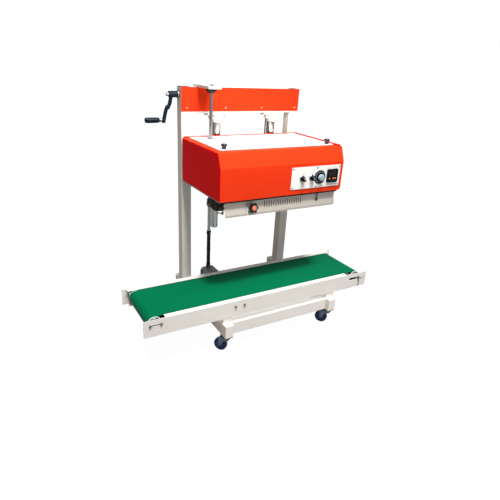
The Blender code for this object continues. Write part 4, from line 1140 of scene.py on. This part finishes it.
def rail_end(name, node, face, inward):
    """The plate, a painted shadow along its joint, the nut and the hook at the outfeed end, on the rail's
    outer face.
    """
    low, high = span(node)
    near, far = face - inward * 0.0002, face - inward * 0.0022
    outline = round_rect((0.6730, low.z + 0.001), (high.x - 0.001, high.z - 0.0005), 0.004)
    put(f"{name}_end_plate", prism(outline, "Y", near, far, 0.0008), "cream", "stand")
    # painted shadow: a brown strip down the joint where the end plate steps out
    shadow_y = min(near, far) + 0.0012, max(near, far) + 0.0002
    seam = box((0.6665, shadow_y[0], low.z + 0.004), (0.6735, shadow_y[1], 0.262), 0.0004, 1)
    put(f"{name}_end_joint_shadow", seam, "shade", "stand")
    out = Vector((0, -inward, 0))
    centre = Vector((0.660, face, 0.2695))
    hook_y = min(near, far) if inward > 0 else max(near, far)
    angles = [0.35 * step for step in range(9)]
    hook = [(0.690 + 0.014 * math.cos(a), hook_y, 0.272 - 0.012 * math.sin(a)) for a in angles]
    nut = [hexagon(centre, out, 0.013, 0.0075), rod(centre, centre + out * 0.0016, 0.0105)]
    put(f"{name}_end_nut", [*nut, wire(hook, 0.0017, 10)], "bolt", "stand")


def rail(name, node, inward):
    """inward is 1 where the rail's inside faces +Y and -1 where it faces -Y."""
    low, high = span(node)
    face = low.y if inward > 0 else high.y
    rail_web(name, node, face, inward)
    metal = rail_bearings(name, node, face, inward)
    bolts = []
    for pair, z, thread in (((-0.6905, -0.6325), 0.2685, 0.0068), ((-0.2135, -0.1595), 0.266, 0.0070)):
        for x in pair:
            bolts += bolt((x, face, z), (0, -inward, 0), thread)
    put(f"{name}_bolts", bolts, "bolt", "stand")
    rail_end(name, node, face, inward)
    put(f"{name}_takeup_screws", metal, "chassis", "stand")


def roller(node, low, high):
    """A tube with stepped end caps and journals; low and high are the belt's edges."""
    centre = middle(node)
    journal_low, journal_high = (corner.y for corner in span(node))
    radius = width_of(node) / 2
    wall = radius - 0.004
    a, b = low - 0.012, high + 0.012
    profile = [(0, journal_low), (0.0074, journal_low), (0.008, journal_low + 0.0008), (0.008, low - 0.003)]
    profile += [(0.011, low - 0.003), (0.012, low - 0.002), (wall, low - 0.002), (wall, a)]
    profile += [(radius - 0.0012, a), (radius, a + 0.0012), (radius, b - 0.0012), (radius - 0.0012, b)]
    profile += [(wall, b), (wall, high + 0.002), (0.012, high + 0.002), (0.011, high + 0.003)]
    profile.append((0.008, high + 0.003))
    profile += [(0.008, journal_high - 0.0008), (0.0074, journal_high), (0, journal_high)]
    return lathe(profile, (centre.x, 0, BELT_Z), BACK, 96)


def slider_bed(x, low_y, high_y):
    """The plate under the belt, open round the drive roller at x."""
    low, high = span("conveyor_bed")
    window = round_rect((x - 0.041, low_y - 0.014), (x + 0.041, high_y + 0.014), 0.004)
    outline = round_rect((low.x, low.y), (high.x, high.y), 0.002)
    shapes = [prism(outline, "Z", high.z - 0.003, high.z, 0.0006, 1, [window])]
    for y0, y1 in ((low.y, low.y + 0.0028), (high.y - 0.0028, high.y)):
        for x0, x1 in ((low.x + 0.001, x - 0.026), (x + 0.026, high.x - 0.001)):
            shapes.append(box((x0, y0, low.z), (x1, y1, high.z - 0.002), 0.0008))
    put("slider_bed", shapes, "sheet", "stand", ["conveyor_bed"])


def conveyor():
    rail("front_rail", "conveyor_rail_front", 1)
    rail("rear_rail", "conveyor_rail_rear", -1)
    low, high = BELT
    radius = (high.z - low.z) / 2
    half = high.x - radius
    thick = 0.0017
    inner = stadium(half, radius - thick, (0, BELT_Z))
    loop = prism(stadium(half, radius, (0, BELT_Z)), "Y", low.y, high.y, 0.0005, 2, [inner])
    put("belt_loop", loop, "belt", "stand", ["conveyor_belt"], 25)
    for side in ("infeed", "outfeed"):
        node, body = f"end_roller_{side}", f"roller_{side}"
        put(f"{side}_roller", roller(node, low.y, high.y), "aluminium", body, [node])
        x = middle(node).x
        rings = []
        for start, end in ((low.y - 0.0027, low.y - 0.0004), (high.y + 0.0004, high.y + 0.0027)):
            rings.append(tube((x, start, BELT_Z), (x, end, BELT_Z), radius + 0.0002, 0.030, 0.0006, 96))
        put(f"{side}_roller_rims", rings, "end", body)
    node = "drive_roller"
    put("lagged_roller", roller(node, low.y, high.y), "aluminium", node, [node])
    slider_bed(middle(node).x, low.y, high.y)


# ------------------------------------------------------------------ sealing head


def casing_shell():
    low, high = span("head_casing")
    sheet = 0.0025
    front_top = -0.222
    profile = [(high.y, low.z), (high.y, high.z), (front_top, high.z), (low.y, 0.995), (low.y, low.z)]
    outer = prism(filleted(profile, [0, 0.006, 0.005, 0.010, 0], 5), "X", low.x, high.x, 0.0055, 4)
    back, ceiling, below = high.y - sheet, high.z - sheet, low.z - 0.01
    inset = [(back, below), (back, ceiling), (front_top + 0.0018, ceiling)]
    inset += [(low.y + sheet, 0.9945), (low.y + sheet, below)]
    inset = filleted(inset, [0, 0.0035, 0.0025, 0.0075, 0])
    inner = prism(inset, "X", low.x + sheet, high.x - sheet, 0.003)
    opening = prism(round_rect((-0.238, -0.150), (0.430, 0.190), 0.010), "Z", high.z - 0.02, high.z + 0.02)
    window = box((0.150, low.y - 0.01, 0.872), (0.435, low.y + 0.01, 0.965), 0.0)
    corner = prism(corner_cut(high.x, low.z, 0.020, 10), "Y", low.y - 0.01, low.y + 0.030)
    put("casing_shell", outer, "red", "head", ["head_casing"], 30, [inner, opening, window, corner])


def casing():
    casing_shell()
    low, high = span("head_casing")
    left, right, front, back, top = low.x, high.x, low.y, high.y, high.z
    flange_z = (low.z + 0.0005, low.z + 0.0025)
    flange = []
    for x0, x1, y0 in (
        (left + 0.003, left + 0.016, front + 0.004),
        (right - 0.016, right - 0.003, front + 0.004),
        (left + 0.016, right - 0.016, back - 0.016),
    ):
        flange.append(box((x0, y0, flange_z[0]), (x1, back - 0.003, flange_z[1]), 0.0006))
    put("casing_flange", flange, "red", "head")
    # painted shade: a dark strip under the casing's front edge, above the guard
    strip_low = (left + 0.012, front + 0.0030, low.z - 0.0090)
    shade_strip = box(strip_low, (right - 0.024, front + 0.0075, low.z - 0.0002), 0.0006, 1)
    put("casing_shade_strip", shade_strip, "recess", "head")
    back_low = (left + 0.006, back - 0.0052, top - 0.001)
    right_low = (right - 0.0180, front + 0.034, top - 0.001)
    rim = [box(back_low, (right - 0.004, back - 0.0006, top + 0.0068), 0.0012)]
    rim.append(box(right_low, (right - 0.0100, back - 0.002, top + 0.0088), 0.0016))
    put("casing_rim", rim, "red", "head")
    places = [((right, y, low.z + 0.012), RIGHT) for y in (-0.18, 0.0, 0.17)]
    places += [((x, back, low.z + 0.16), BACK) for x in (-0.20, 0.05, 0.40)]
    screw_heads("casing", places, 0.004, 0.004, "bolt", "head")


def lid():
    low, high = span("head_lid")
    x, y = SPINDLE.x, SPINDLE.y
    top = low.z + 0.0025
    outline = round_rect((low.x, low.y), (high.x, high.y), 0.009, 8)
    plate = prism(outline, "Z", low.z, top, 0.0009, 3, [circle((x, y), 0.0097, 36)])
    put("lid_plate", plate, "lid", "lid", ["head_lid"])
    profile = [(0.0097, top), (0.015, top), (0.0152, top + 0.003), (0.0145, top + 0.0044)]
    profile += [(0.0118, top + 0.0046), (0.0097, top + 0.0036)]
    put("lid_ring", lathe(profile, (x, y, 0), segments=64), "zinc", "lid", ["head_lid"], 45)
    grip = [(0, 0), (0.0118, 0), (0.0122, 0.0015), (0.0118, 0.009), (0.0122, 0.0125), (0.0150, 0.0145)]
    grip += [(0.0158, 0.0165), (0.0160, 0.020), (0.0155, 0.0238), (0.0125, 0.0258), (0.0075, 0.0266)]
    grip.append((0, 0.0268))
    for side in SIDES:
        node = f"lid_knob_{side}"
        centre = middle(node)
        shape = lathe(grip, (centre.x, centre.y, span(node)[0].z), segments=64)
        put(f"lid_grip_{side}", shape, "plum", node, [node], 60)


def panel():
    low, high = span("control_panel")
    outline = round_rect((low.x, low.z), (high.x, high.z), 0.004, 5)
    put("panel_plate", prism(outline, "Y", low.y, high.y, 0.0006), "panel", "head", ["control_panel"])
    places = []
    for x in (low.x + 0.0095, (low.x + high.x) / 2 + 0.002, high.x - 0.0085):
        for z in (low.z + 0.0085, high.z - 0.0085):
            places.append(((x, low.y, z), FRONT))
    screw_heads("panel", places, 0.0042, 0.0042, "bolt", "head")
    for side in SIDES:
        rotary_switch(side, low.y)
    speed_dial(low.y)
    controller(low.y)


def rotary_switch(side, front):
    node, body = f"rotary_switch_{side}", f"switch_{side}"
    centre = (middle(node).x, front, middle(node).z)
    bezel = [(0, 0), (0.0168, 0), (0.0168, 0.001), (0.0155, 0.0026), (0.0146, 0.0028), (0, 0.0028)]
    put(f"switch_bezel_{side}", lathe(bezel, centre, FRONT), "zinc", "head")
    cap = [(0, 0.0031), (0.0143, 0.0031), (0.0145, 0.0045), (0.0142, 0.0095), (0.0133, 0.0108), (0, 0.0112)]
    turn = shift(*centre) @ spun("Y", -38)
    bar = moved(box((-0.0052, -0.0255, -0.0146), (0.0052, -0.009, 0.0146), 0.0022, 3), turn)
    put(f"switch_cap_{side}", [lathe(cap, centre, FRONT), bar], "gloss", body, [node])
    stripe = box((-0.0009, -0.02585, -0.0060), (0.0009, -0.0252, 0.0118), 0.0002, 1)
    put(f"switch_pointer_{side}", moved(stripe, turn), "lid", body)


def speed_dial(front):
    node = "speed_knob"
    centre = (middle(node).x, front, middle(node).z)
    dial = [(0.0172, 0), (0.0372, 0), (0.0372, 0.0016), (0.0360, 0.0028), (0.0180, 0.0028), (0.0172, 0.002)]
    put("speed_dial", lathe(dial, centre, FRONT, 72), "gloss", "head", ["control_panel"], 40)
    ticks = []
    for step in range(11):
        tick = box((-0.0004, -0.0031, 0.0300), (0.0004, -0.0026, 0.0340), 0)
        ticks.append(moved(tick, shift(*centre) @ spun("Y", -135 + 27 * step)))
    ring = [(0.0262, 0.0027), (0.0276, 0.0027), (0.0276, 0.0031), (0.0262, 0.0031)]
    ticks.append(lathe(ring, centre, FRONT, 72))
    put("speed_ticks", ticks, "key", "head")
    skirt = [(0, 0.0030), (0.0225, 0.0030), (0.0230, 0.004), (0.0222, 0.0075), (0.0180, 0.0095), (0, 0.0095)]
    put("speed_skirt", lathe(skirt, centre, FRONT, 72), "gloss", node, [node])
    rings = []
    for reach, height in ((0.0172, 0.009), (0.0168, 0.0205), (0.0156, 0.0232), (0.0120, 0.0240)):
        depth = 0.0005 if reach > 0.0160 else 0
        rings.append(lobed(reach, depth, 24, height))
    put("speed_cap", facing_front(rings, 0.0240, centre), "knob", node, (), 40)
    mark = box((-0.0007, -0.0240, 0.004), (0.0007, -0.0234, 0.0118), 0.0001, 1)
    put("speed_pointer", moved(mark, shift(*centre) @ spun("Y", -40)), "lid", node)


def lobed(radius, depth, lobes, height, share=1.0):
    """A ring of points whose radius waves by depth."""
    ring = []
    for step, (cosine, sine) in enumerate(around(96)):
        reach = (radius + depth * math.cos(2 * math.pi * lobes * step / 96)) * share
        ring.append((reach * cosine, reach * sine, height))
    return ring


def facing_front(rings, top, centre):
    """The rings closed at both ends, and turned to face the front at centre."""
    shape = skin([*rings, [(0, 0, top)]])
    shape.verts.ensure_lookup_table()
    shape.faces.new(shape.verts[: len(rings[0])])
    return moved(closed(shape), shift(*centre) @ turn_to(FRONT))


def controller(front):
    low, high = span("temperature_controller")
    centre = middle("temperature_controller")
    x, z = centre.x, centre.z
    half = (high.x - low.x) / 2
    face = low.y
    recess = round_rect((x - 0.0285, z - 0.0265), (x + 0.0285, z + 0.0285), 0.003, 4)
    bezel = prism(square(x, z, half, 0.006), "Y", face, front - 0.0002, 0.0018, 3, [recess])
    inset = half - 0.0025
    body = box((x - inset, face + 0.0035, z - inset), (x + inset, high.y, z + inset), 0.002)
    put("controller_case", [bezel, body], "gloss", "head", ["temperature_controller"])
    outline = round_rect((x - 0.0283, z - 0.003), (x + 0.0283, z + 0.0283), 0.002)
    put("controller_window", prism(outline, "Y", face + 0.0016, face + 0.0036, 0.0003, 1), "glass", "head")
    keys = []
    for step in range(4):
        left = x - 0.0255 + step * 0.014
        keys.append(box((left, face + 0.0012, z - 0.0255), (left + 0.009, face + 0.004, z - 0.0215), 0.0006))
    put("controller_keys", keys, "mark", "head")
    lights = []
    for light_x in (x - 0.0175, x + 0.0075, x + 0.0215):
        start, end = (light_x, face + 0.0036, z - 0.0150), (light_x, face + 0.0004, z - 0.0150)
        lights.append(rod(start, end, 0.0028, 0.001, 24))
    put("controller_lights", lights, "led", "head")
    digits = []
    for rise, half_width, half_height in ((0.0135, 0.0028, 0.0033), (0.0035, 0.0022, 0.0026)):
        for step in (-1, 0, 1):
            digits += digit_eight((x + step * 0.010, face + 0.0014, z + rise), half_width, half_height)
    put("controller_digits", digits, "mark", "head")


def digit_eight(centre, half_width, half_height):
    """Seven unlit bars of one digit."""
    thin = half_width * 0.11
    bars = [(0, level * half_height, half_width * 0.7, thin) for level in (-1, 0, 1)]
    for across in (-1, 1):
        for level in (-0.5, 0.5):
            bars.append((across * half_width, level * half_height, thin, half_height * 0.38))
    x, y, z = centre
    return [box((x + a - w, y, z + b - h), (x + a + w, y + 0.0004, z + b + h), 0) for a, b, w, h in bars]


def chassis():
    low, high = span("head_chassis")
    node = ["head_chassis"]
    plate_low, plate_high = 0.8265, 0.8326
    back_y = 0.2153
    holes = [circle((SPINDLE.x, SPINDLE.y), 0.014, 32)]
    for kind in ("band_wheel_infeed", "band_wheel_outfeed", "press_wheel"):
        for side in ("front", "rear"):
            wheel = Vector(middle(f"{kind}_{side}"))
            holes.append(circle((wheel.x, wheel.y), 0.007, 24))
    outline = round_rect((low.x, low.y), (high.x, 0.222), 0.003)
    plate = prism(outline, "Z", plate_low, plate_high, 0.0008, 1, holes)
    put("head_base_plate", plate, "chassis", "head", node)
    back = prism(round_rect((-0.150, plate_high), (0.370, 1.060), 0.008), "Y", back_y, back_y + 0.0065, 0.001)
    put("head_back_plate", back, "chassis", "head", node)
    blocks = []
    bushes = []
    heads = []
    for x, screw_x in COLUMNS:
        outline = round_rect((screw_x - 0.020, back_y + 0.0066), (x + 0.0325, 0.292), 0.008, 5)
        bores = [circle((x, POST_Y), 0.0255, 48), circle((screw_x, POST_Y), 0.0125, 32)]
        blocks.append(prism(outline, "Z", 0.866, 1.050, 0.0015, 2, bores))
        for z0, z1 in ((0.8655, 0.886), (1.030, 1.0505)):
            bushes.append(tube((x, POST_Y, z0), (x, POST_Y, z1), 0.0256, 0.0228, 0.0008, 64))
        bushes.append(tube((screw_x, POST_Y, 0.900), (screw_x, POST_Y, 1.0505), 0.0126, 0.0093, 0.0008, 40))
        for z in (0.892, 0.958, 1.024):
            heads.append(hexagon(((screw_x + x) / 2 - 0.002, 0.292, z), BACK, 0.010, 0.0042))
    put("slide_blocks", blocks, "chassis", "head", node)
    put("slide_bushes", bushes, "brass", "head")
    put("slide_block_bolts", heads, "bolt", "head")


def gear_outline(centre, radius, teeth, depth):
    points = []
    root = radius - depth
    for step in range(teeth):
        for share, reach in ((0.0, root), (0.22, root), (0.36, radius), (0.62, radius), (0.76, root)):
            angle = (step + share) * 2 * math.pi / teeth
            points.append((centre[0] + reach * math.cos(angle), centre[1] + reach * math.sin(angle)))
    return points


def motor(x, y):
    base_z = 0.868
    flange = square(x, y, 0.040, 0.008)
    shapes = [prism(flange, "Z", base_z, base_z + 0.008, 0.001, 2, [circle((x, y), 0.006, 24)])]
    profile = [(0, 0.0079), (0.036, 0.0079)]
    for fin in range(13):
        height = 0.020 + 0.007 * fin
        for radius, rise in ((0.0335, 0), (0.036, 0.001), (0.036, 0.003), (0.0335, 0.004)):
            profile.append((radius, height + rise))
    profile += [(0.036, 0.110), (0.036, 0.128), (0.032, 0.134), (0, 0.135)]
    shapes.append(lathe(profile, (x, y, base_z)))
    put("motor_body", shapes, "motor", "head", ["drive_motor"])
    posts = []
    post_x = x + 0.033
    for post_y in (y - 0.033, y + 0.033):
        posts.append(rod((post_x, post_y, 0.8332), (post_x, post_y, base_z + 0.001), 0.005))
        posts.append(hexagon((post_x, post_y, base_z + 0.008), UP, 0.010, 0.004))
    put("motor_posts", posts, "zinc", "head", ["drive_motor"])


def head_drive():
    x, y = Vector(middle("motor_pinion")).xy
    motor(x, y)
    node = "spindle_gear"
    low, high = span(node)
    axis_x, axis_y = SPINDLE.x, SPINDLE.y
    outline = gear_outline((axis_x, axis_y), width_of(node) / 2, 40, 0.0030)
    gear = prism(outline, "Z", 0.850, high.z, 0.0004, 1, [circle((axis_x, axis_y), 0.0094, 36)])
    hub = tube((axis_x, axis_y, low.z), (axis_x, axis_y, 0.8505), 0.018, 0.0094, 0.0008)
    put("spindle_gear_wheel", [gear, hub], "brass", node, [node])
    node = "motor_pinion"
    low, high = span(node)
    pinion = prism(gear_outline((x, y), width_of(node) / 2, 20, 0.0030), "Z", low.z, 0.862, 0.0004, 1)
    put("pinion_wheel", [pinion, rod((x, y, 0.8615), (x, y, high.z), 0.005)], "zinc", node, [node])


def band_wheel(node):
    centre = middle(node)
    radius = width_of(node) / 2
    top = span(node)[1].z
    tyre = [(radius - 0.006, 0.7690), (radius - 0.001, 0.7690), (radius, 0.770), (radius, 0.7735)]
    tyre += [(radius - 0.0008, 0.7738), (radius - 0.0008, 0.7902), (radius, 0.7905)]
    tyre += [(radius, 0.805), (radius - 0.001, 0.806), (radius - 0.006, 0.806)]
    put(f"{node}_tyre", lathe(tyre, (centre.x, centre.y, 0), segments=72), "rubber", node, [node])
    core = [(0, 0.764), (0.009, 0.764), (0.010, 0.765), (0.010, 0.7685), (radius - 0.0062, 0.7695)]
    core += [(radius - 0.0062, 0.8055), (0.012, 0.8065), (0.012, 0.812), (0.006, 0.8122)]
    core += [(0.006, top), (0, top)]
    put(f"{node}_core", lathe(core, (centre.x, centre.y, 0)), "zinc", node, [node])


def seal_bar(kind, look, side):
    """A heating or cooling bar on two posts; the cooling bar has fins."""
    node = f"{kind}_block_{side}"
    low, high = span(node)
    width = high.x - low.x
    bar_top = 0.798
    shapes = [box(low, (high.x, high.y, bar_top), 0.0012)]
    for share in (0.2, 0.8):
        x, y = low.x + width * share, middle(node).y
        shapes.append(rod((x, y, bar_top - 0.001), (x, y, high.z), 0.0045, 0.0005, 32))
    for step in range(8 if kind == "cooling" else 0):
        x = low.x + 0.010 + step * (width - 0.020) / 7
        fin_low = (x - 0.001, low.y + 0.0005, bar_top - 0.001)
        shapes.append(box(fin_low, (x + 0.001, high.y - 0.0005, 0.812), 0.0004, 1))
    put(f"{kind}_bar_{side}", shapes, look, "head", [node])


def sealing_line():
    for side in ("front", "rear"):
        for kind in ("band_wheel_infeed", "band_wheel_outfeed", "press_wheel"):
            band_wheel(f"{kind}_{side}")
        node = f"sealing_band_{side}"
        low, high = span(node)
        centre = middle(node)
        radius = (high.y - low.y) / 2
        half = (high.x - low.x) / 2 - radius
        inner = stadium(half, radius - 0.0011, centre)
        loop = prism(stadium(half, radius, centre), "Z", low.z, high.z, 0.0002, 1, [inner])
        put(f"band_{side}", loop, "band", "head", [node])
        seal_bar("heating", "brass", side)
        seal_bar("cooling", "cool", side)


GUARD_FOLDS = (0.788, 0.757)


def guard_section(low, high, sheet=0.0015):
    """The bent sheet seen from its end, and the radius of each of its corners."""
    front = high.y - 0.016
    top, lean = high.z, low.y
    fold_top, fold_low = GUARD_FOLDS
    outer = [(front + 0.016, top), (front, top), (front, fold_top), (lean, fold_low), (lean, low.z)]
    inner = [(lean + sheet, low.z), (lean + sheet, fold_low - 0.0004), (front + sheet, fold_top - 0.0004)]
    inner += [(front + sheet, top - sheet), (front + 0.016, top - sheet)]
    return filleted(outer + inner, [0, 0.003, 0.006, 0.004, 0, 0, 0.0028, 0.0045, 0.0016, 0])


def guard_cuts(low, high):
    """Cooling slots, a rounded corner and the hole for the pressure knob's screw."""
    front = high.y - 0.016
    cuts = []
    for step in range(17):
        x = -0.021 + 0.0146 * step
        outline = arc((x, 0.8115), 0.0022, 0, 180, 6) + arc((x, 0.7785), 0.0022, 180, 360, 6)
        cuts.append(prism(outline, "Y", front - 0.02, front + 0.006))
    cuts.append(prism(corner_cut(high.x, low.z, 0.016, 8), "Y", -0.27, -0.22))
    knob = middle("pressure_knob")
    cuts.append(rod((knob.x, front - 0.02, knob.z), (knob.x, front + 0.01, knob.z), 0.0058, 0.0001, 24))
    return cuts


def guards():
    for side in SIDES:
        node = f"guard_{side}"
        low, high = span(node)
        shape = prism(guard_section(low, high), "X", low.x, high.x)
        cuts = guard_cuts(low, high) if side == "right" else ()
        put(f"guard_strip_{side}", shape, "guard", "head", [node], 30, cuts)
    # painted shade: a dark sheet behind the cooling slots
    back_low, back_high = high.y - 0.013, high.y - 0.0118
    shade_sheet = box((-0.030, back_low, 0.7700), (0.226, back_high, high.z - 0.003), 0.0004, 1)
    put("slot_shade_sheet", shade_sheet, "shade_dark", "head")


def pressure_knob():
    node = "pressure_knob"
    low, high = span(node)
    x, z = middle(node).x, middle(node).z
    back = low.y + 0.022
    centre = (x, back, z)
    stages = ((0.80, 0.0), (0.96, 0.0012), (1.0, 0.004), (1.0, 0.013), (0.96, 0.0168), (0.86, 0.0180))
    rings = [lobed(0.0240, 0.0032, 6, height, share) for share, height in stages]
    hub = rod((x, back + 0.0016, z), (x, back - 0.001, z), 0.010)
    put("pressure_handwheel", [facing_front(rings, 0.0184, centre), hub], "black", node, [node], 45)
    put("pressure_screw", rod((x, high.y, z), (x, back - 0.001, z), 0.005), "zinc", node)
    cap = [(0, 0.0175), (0.0136, 0.0175), (0.0136, 0.0195), (0.0125, 0.0212), (0.009, 0.0219), (0, 0.022)]
    put("pressure_cap", lathe(cap, centre, FRONT), "salmon", node, (), 50)


def release_lever():
    node = "release_lever"
    low, high = span(node)
    x, y = middle(node).x, low.y + 0.0035
    loop = [(x + 0.0065 * sine, y, 0.789 + 0.0065 * cosine) for cosine, sine in around(40)]
    shapes = [rod((x, y, 0.7965), (x, y, high.z - 0.002), 0.0021, 0.0004, 24)]
    shapes.append(wire([*loop, loop[0]], 0.002))
    shapes.append(rod((x, low.y, 0.8205), (x, high.y, 0.8205), 0.0036, 0.0005, 32))
    put("lever_rod", shapes, "bearing", node, [node])


def infeed_guide():
    node = ["infeed_guide"]
    fingers = []
    for z in (0.770, 0.790, 0.810):
        path = [(-0.263, -0.2290, z), (-0.270, -0.2265, z), (-0.2805, -0.2175, z), (-0.2895, -0.2115, z)]
        fingers.append(wire(path, 0.0028, 14))
    put("infeed_fingers", fingers, "bearing", "head", node)
    holes = [slot_outline(-0.2665, -0.2605, z, 0.0016, 6) for z in (0.780, 0.800, 0.818)]
    outline = round_rect((-0.2685, 0.762), (-0.2585, span("infeed_guide")[1].z), 0.002)
    put("infeed_strip", prism(outline, "Y", -0.230, -0.2275, 0.0005, 1, holes), "bearing", "head", node)
    cover = [
        box((-0.2890, -0.205, 0.7770), (-0.2865, -0.150, 0.8255), 0.0008),
        rod((-0.2880, -0.160, 0.7860), (-0.2880, -0.160, 0.8250), 0.0120, 0.0015),
        rod((-0.2880, -0.142, 0.7960), (-0.2880, -0.142, 0.8250), 0.0080, 0.0012),
        box((-0.2930, -0.214, 0.7800), (-0.2800, -0.206, 0.8200), 0.0015),
    ]
    put("infeed_shroud", cover, "recess", "head")


# ------------------------------------------------------------------ studio


def floor():
    mesh = bpy.data.meshes.new("floor")
    mesh.from_pydata([(-30, -30, 0), (30, -30, 0), (30, 30, 0), (-30, 30, 0)], [], [(0, 1, 2, 3)])
    ground = show("floor", mesh)
    mesh.materials.append(floor_look())


def world():
    """White to the camera, and a soft sky, brighter above, to everything that it lights."""
    sky = bpy.data.worlds.new("studio")
    bpy.context.scene.world = sky
    sky.use_nodes = True
    tree = sky.node_tree
    tree.nodes.clear()
    place = add_node(tree, "ShaderNodeTexCoord").outputs["Generated"]
    height = add_node(tree, "ShaderNodeSeparateXYZ", {"Vector": place}).outputs["Z"]
    share = add_node(tree, "ShaderNodeMapRange", {"From Min": -1, "Value": height}).outputs["Result"]
    ramp = add_node(tree, "ShaderNodeValToRGB", {"Fac": share})
    low, high = ramp.color_ramp.elements
    low.position, high.position = 0.35, 1.0
    low.color, high.color = (0.39, 0.35, 0.31, 1), (0.95, 0.96, 1.0, 1)
    lit = add_node(tree, "ShaderNodeBackground", {"Color": ramp.outputs["Color"], "Strength": 0.40})
    white = add_node(tree, "ShaderNodeBackground", {"Color": (1, 1, 1, 1)})
    seen = add_node(tree, "ShaderNodeLightPath").outputs["Is Camera Ray"]
    mix = add_node(tree, "ShaderNodeMixShader", {"Fac": seen, 1: lit.outputs[0], 2: white.outputs[0]})
    add_node(tree, "ShaderNodeOutputWorld", {"Surface": mix.outputs["Shader"]})


def light(name, kind, energy, direction, place=(0, 0, 0), **settings):
    data = bpy.data.lights.new(name, kind)
    data.energy = energy
    for key, value in settings.items():
        setattr(data, key, value)
    made = show(name, data)
    made.location = place
    made.rotation_euler = Vector(direction).to_track_quat("-Z", "Y").to_euler()


def lights():
    light("key", "SUN", 2.85, (0.06, 0.33, -1), angle=math.radians(7), color=(1.0, 0.985, 0.96))
    fill, over = Vector((0.5, -3.2, 1.9)), Vector((-0.12, -0.75, 2.20))
    light("fill", "AREA", 9, Vector((0.1, 0, 0.8)) - fill, fill, size=2.0)
    light("overhead", "AREA", 27, Vector((0.1, 0.2, 1.25)) - over, over, size=0.7)
    # light thrown back by the floor into the gap between the rail and the front tube
    card = {"shape": "RECTANGLE", "size": 1.05, "size_y": 0.11}
    light("bounce_card", "AREA", 0.28, DOWN, (0.088, -0.262, 0.2045), **card)


def camera():
    """The photograph's viewpoint, solved from the machine's straight edges."""
    data = bpy.data.cameras.new("camera")
    data.sensor_width = 36
    data.lens = 32.436
    data.shift_x = 0.0082
    data.shift_y = 0.035
    yaw, pitch, roll = (math.radians(value) for value in (31.1, -25.0, 3.3))
    forward = Vector((math.sin(yaw) * math.cos(pitch), math.cos(yaw) * math.cos(pitch), math.sin(pitch)))
    level = Vector((math.cos(yaw), -math.sin(yaw), 0))
    above = level.cross(forward)
    right = math.cos(roll) * level + math.sin(roll) * above
    up = -math.sin(roll) * level + math.cos(roll) * above
    turn = Matrix((right, up, -forward)).transposed().to_4x4()
    made = show("camera", data)
    made.matrix_world = shift(-1.266, -2.147, 1.485) @ turn
    bpy.context.scene.camera = made


BUILDERS = (stand_top, columns, lift_screws, spindle_support, base, castors, crank, spindle, gearbox)
BUILDERS += (conveyor, casing, lid, panel, chassis, head_drive, sealing_line, guards, pressure_knob)
BUILDERS += (release_lever, infeed_guide, floor, world, lights, camera)
for build in BUILDERS:
    build()
bpy.context.scene.view_settings.view_transform = "Standard"
bpy.context.view_layer.update()

# a CAD node that no piece stands for is still seen, so it gets a look too
for node in NODES.values():
    if not node.hide_render and node.type == "MESH" and not node.data.materials:
        node.data.materials.append(M["zinc"])
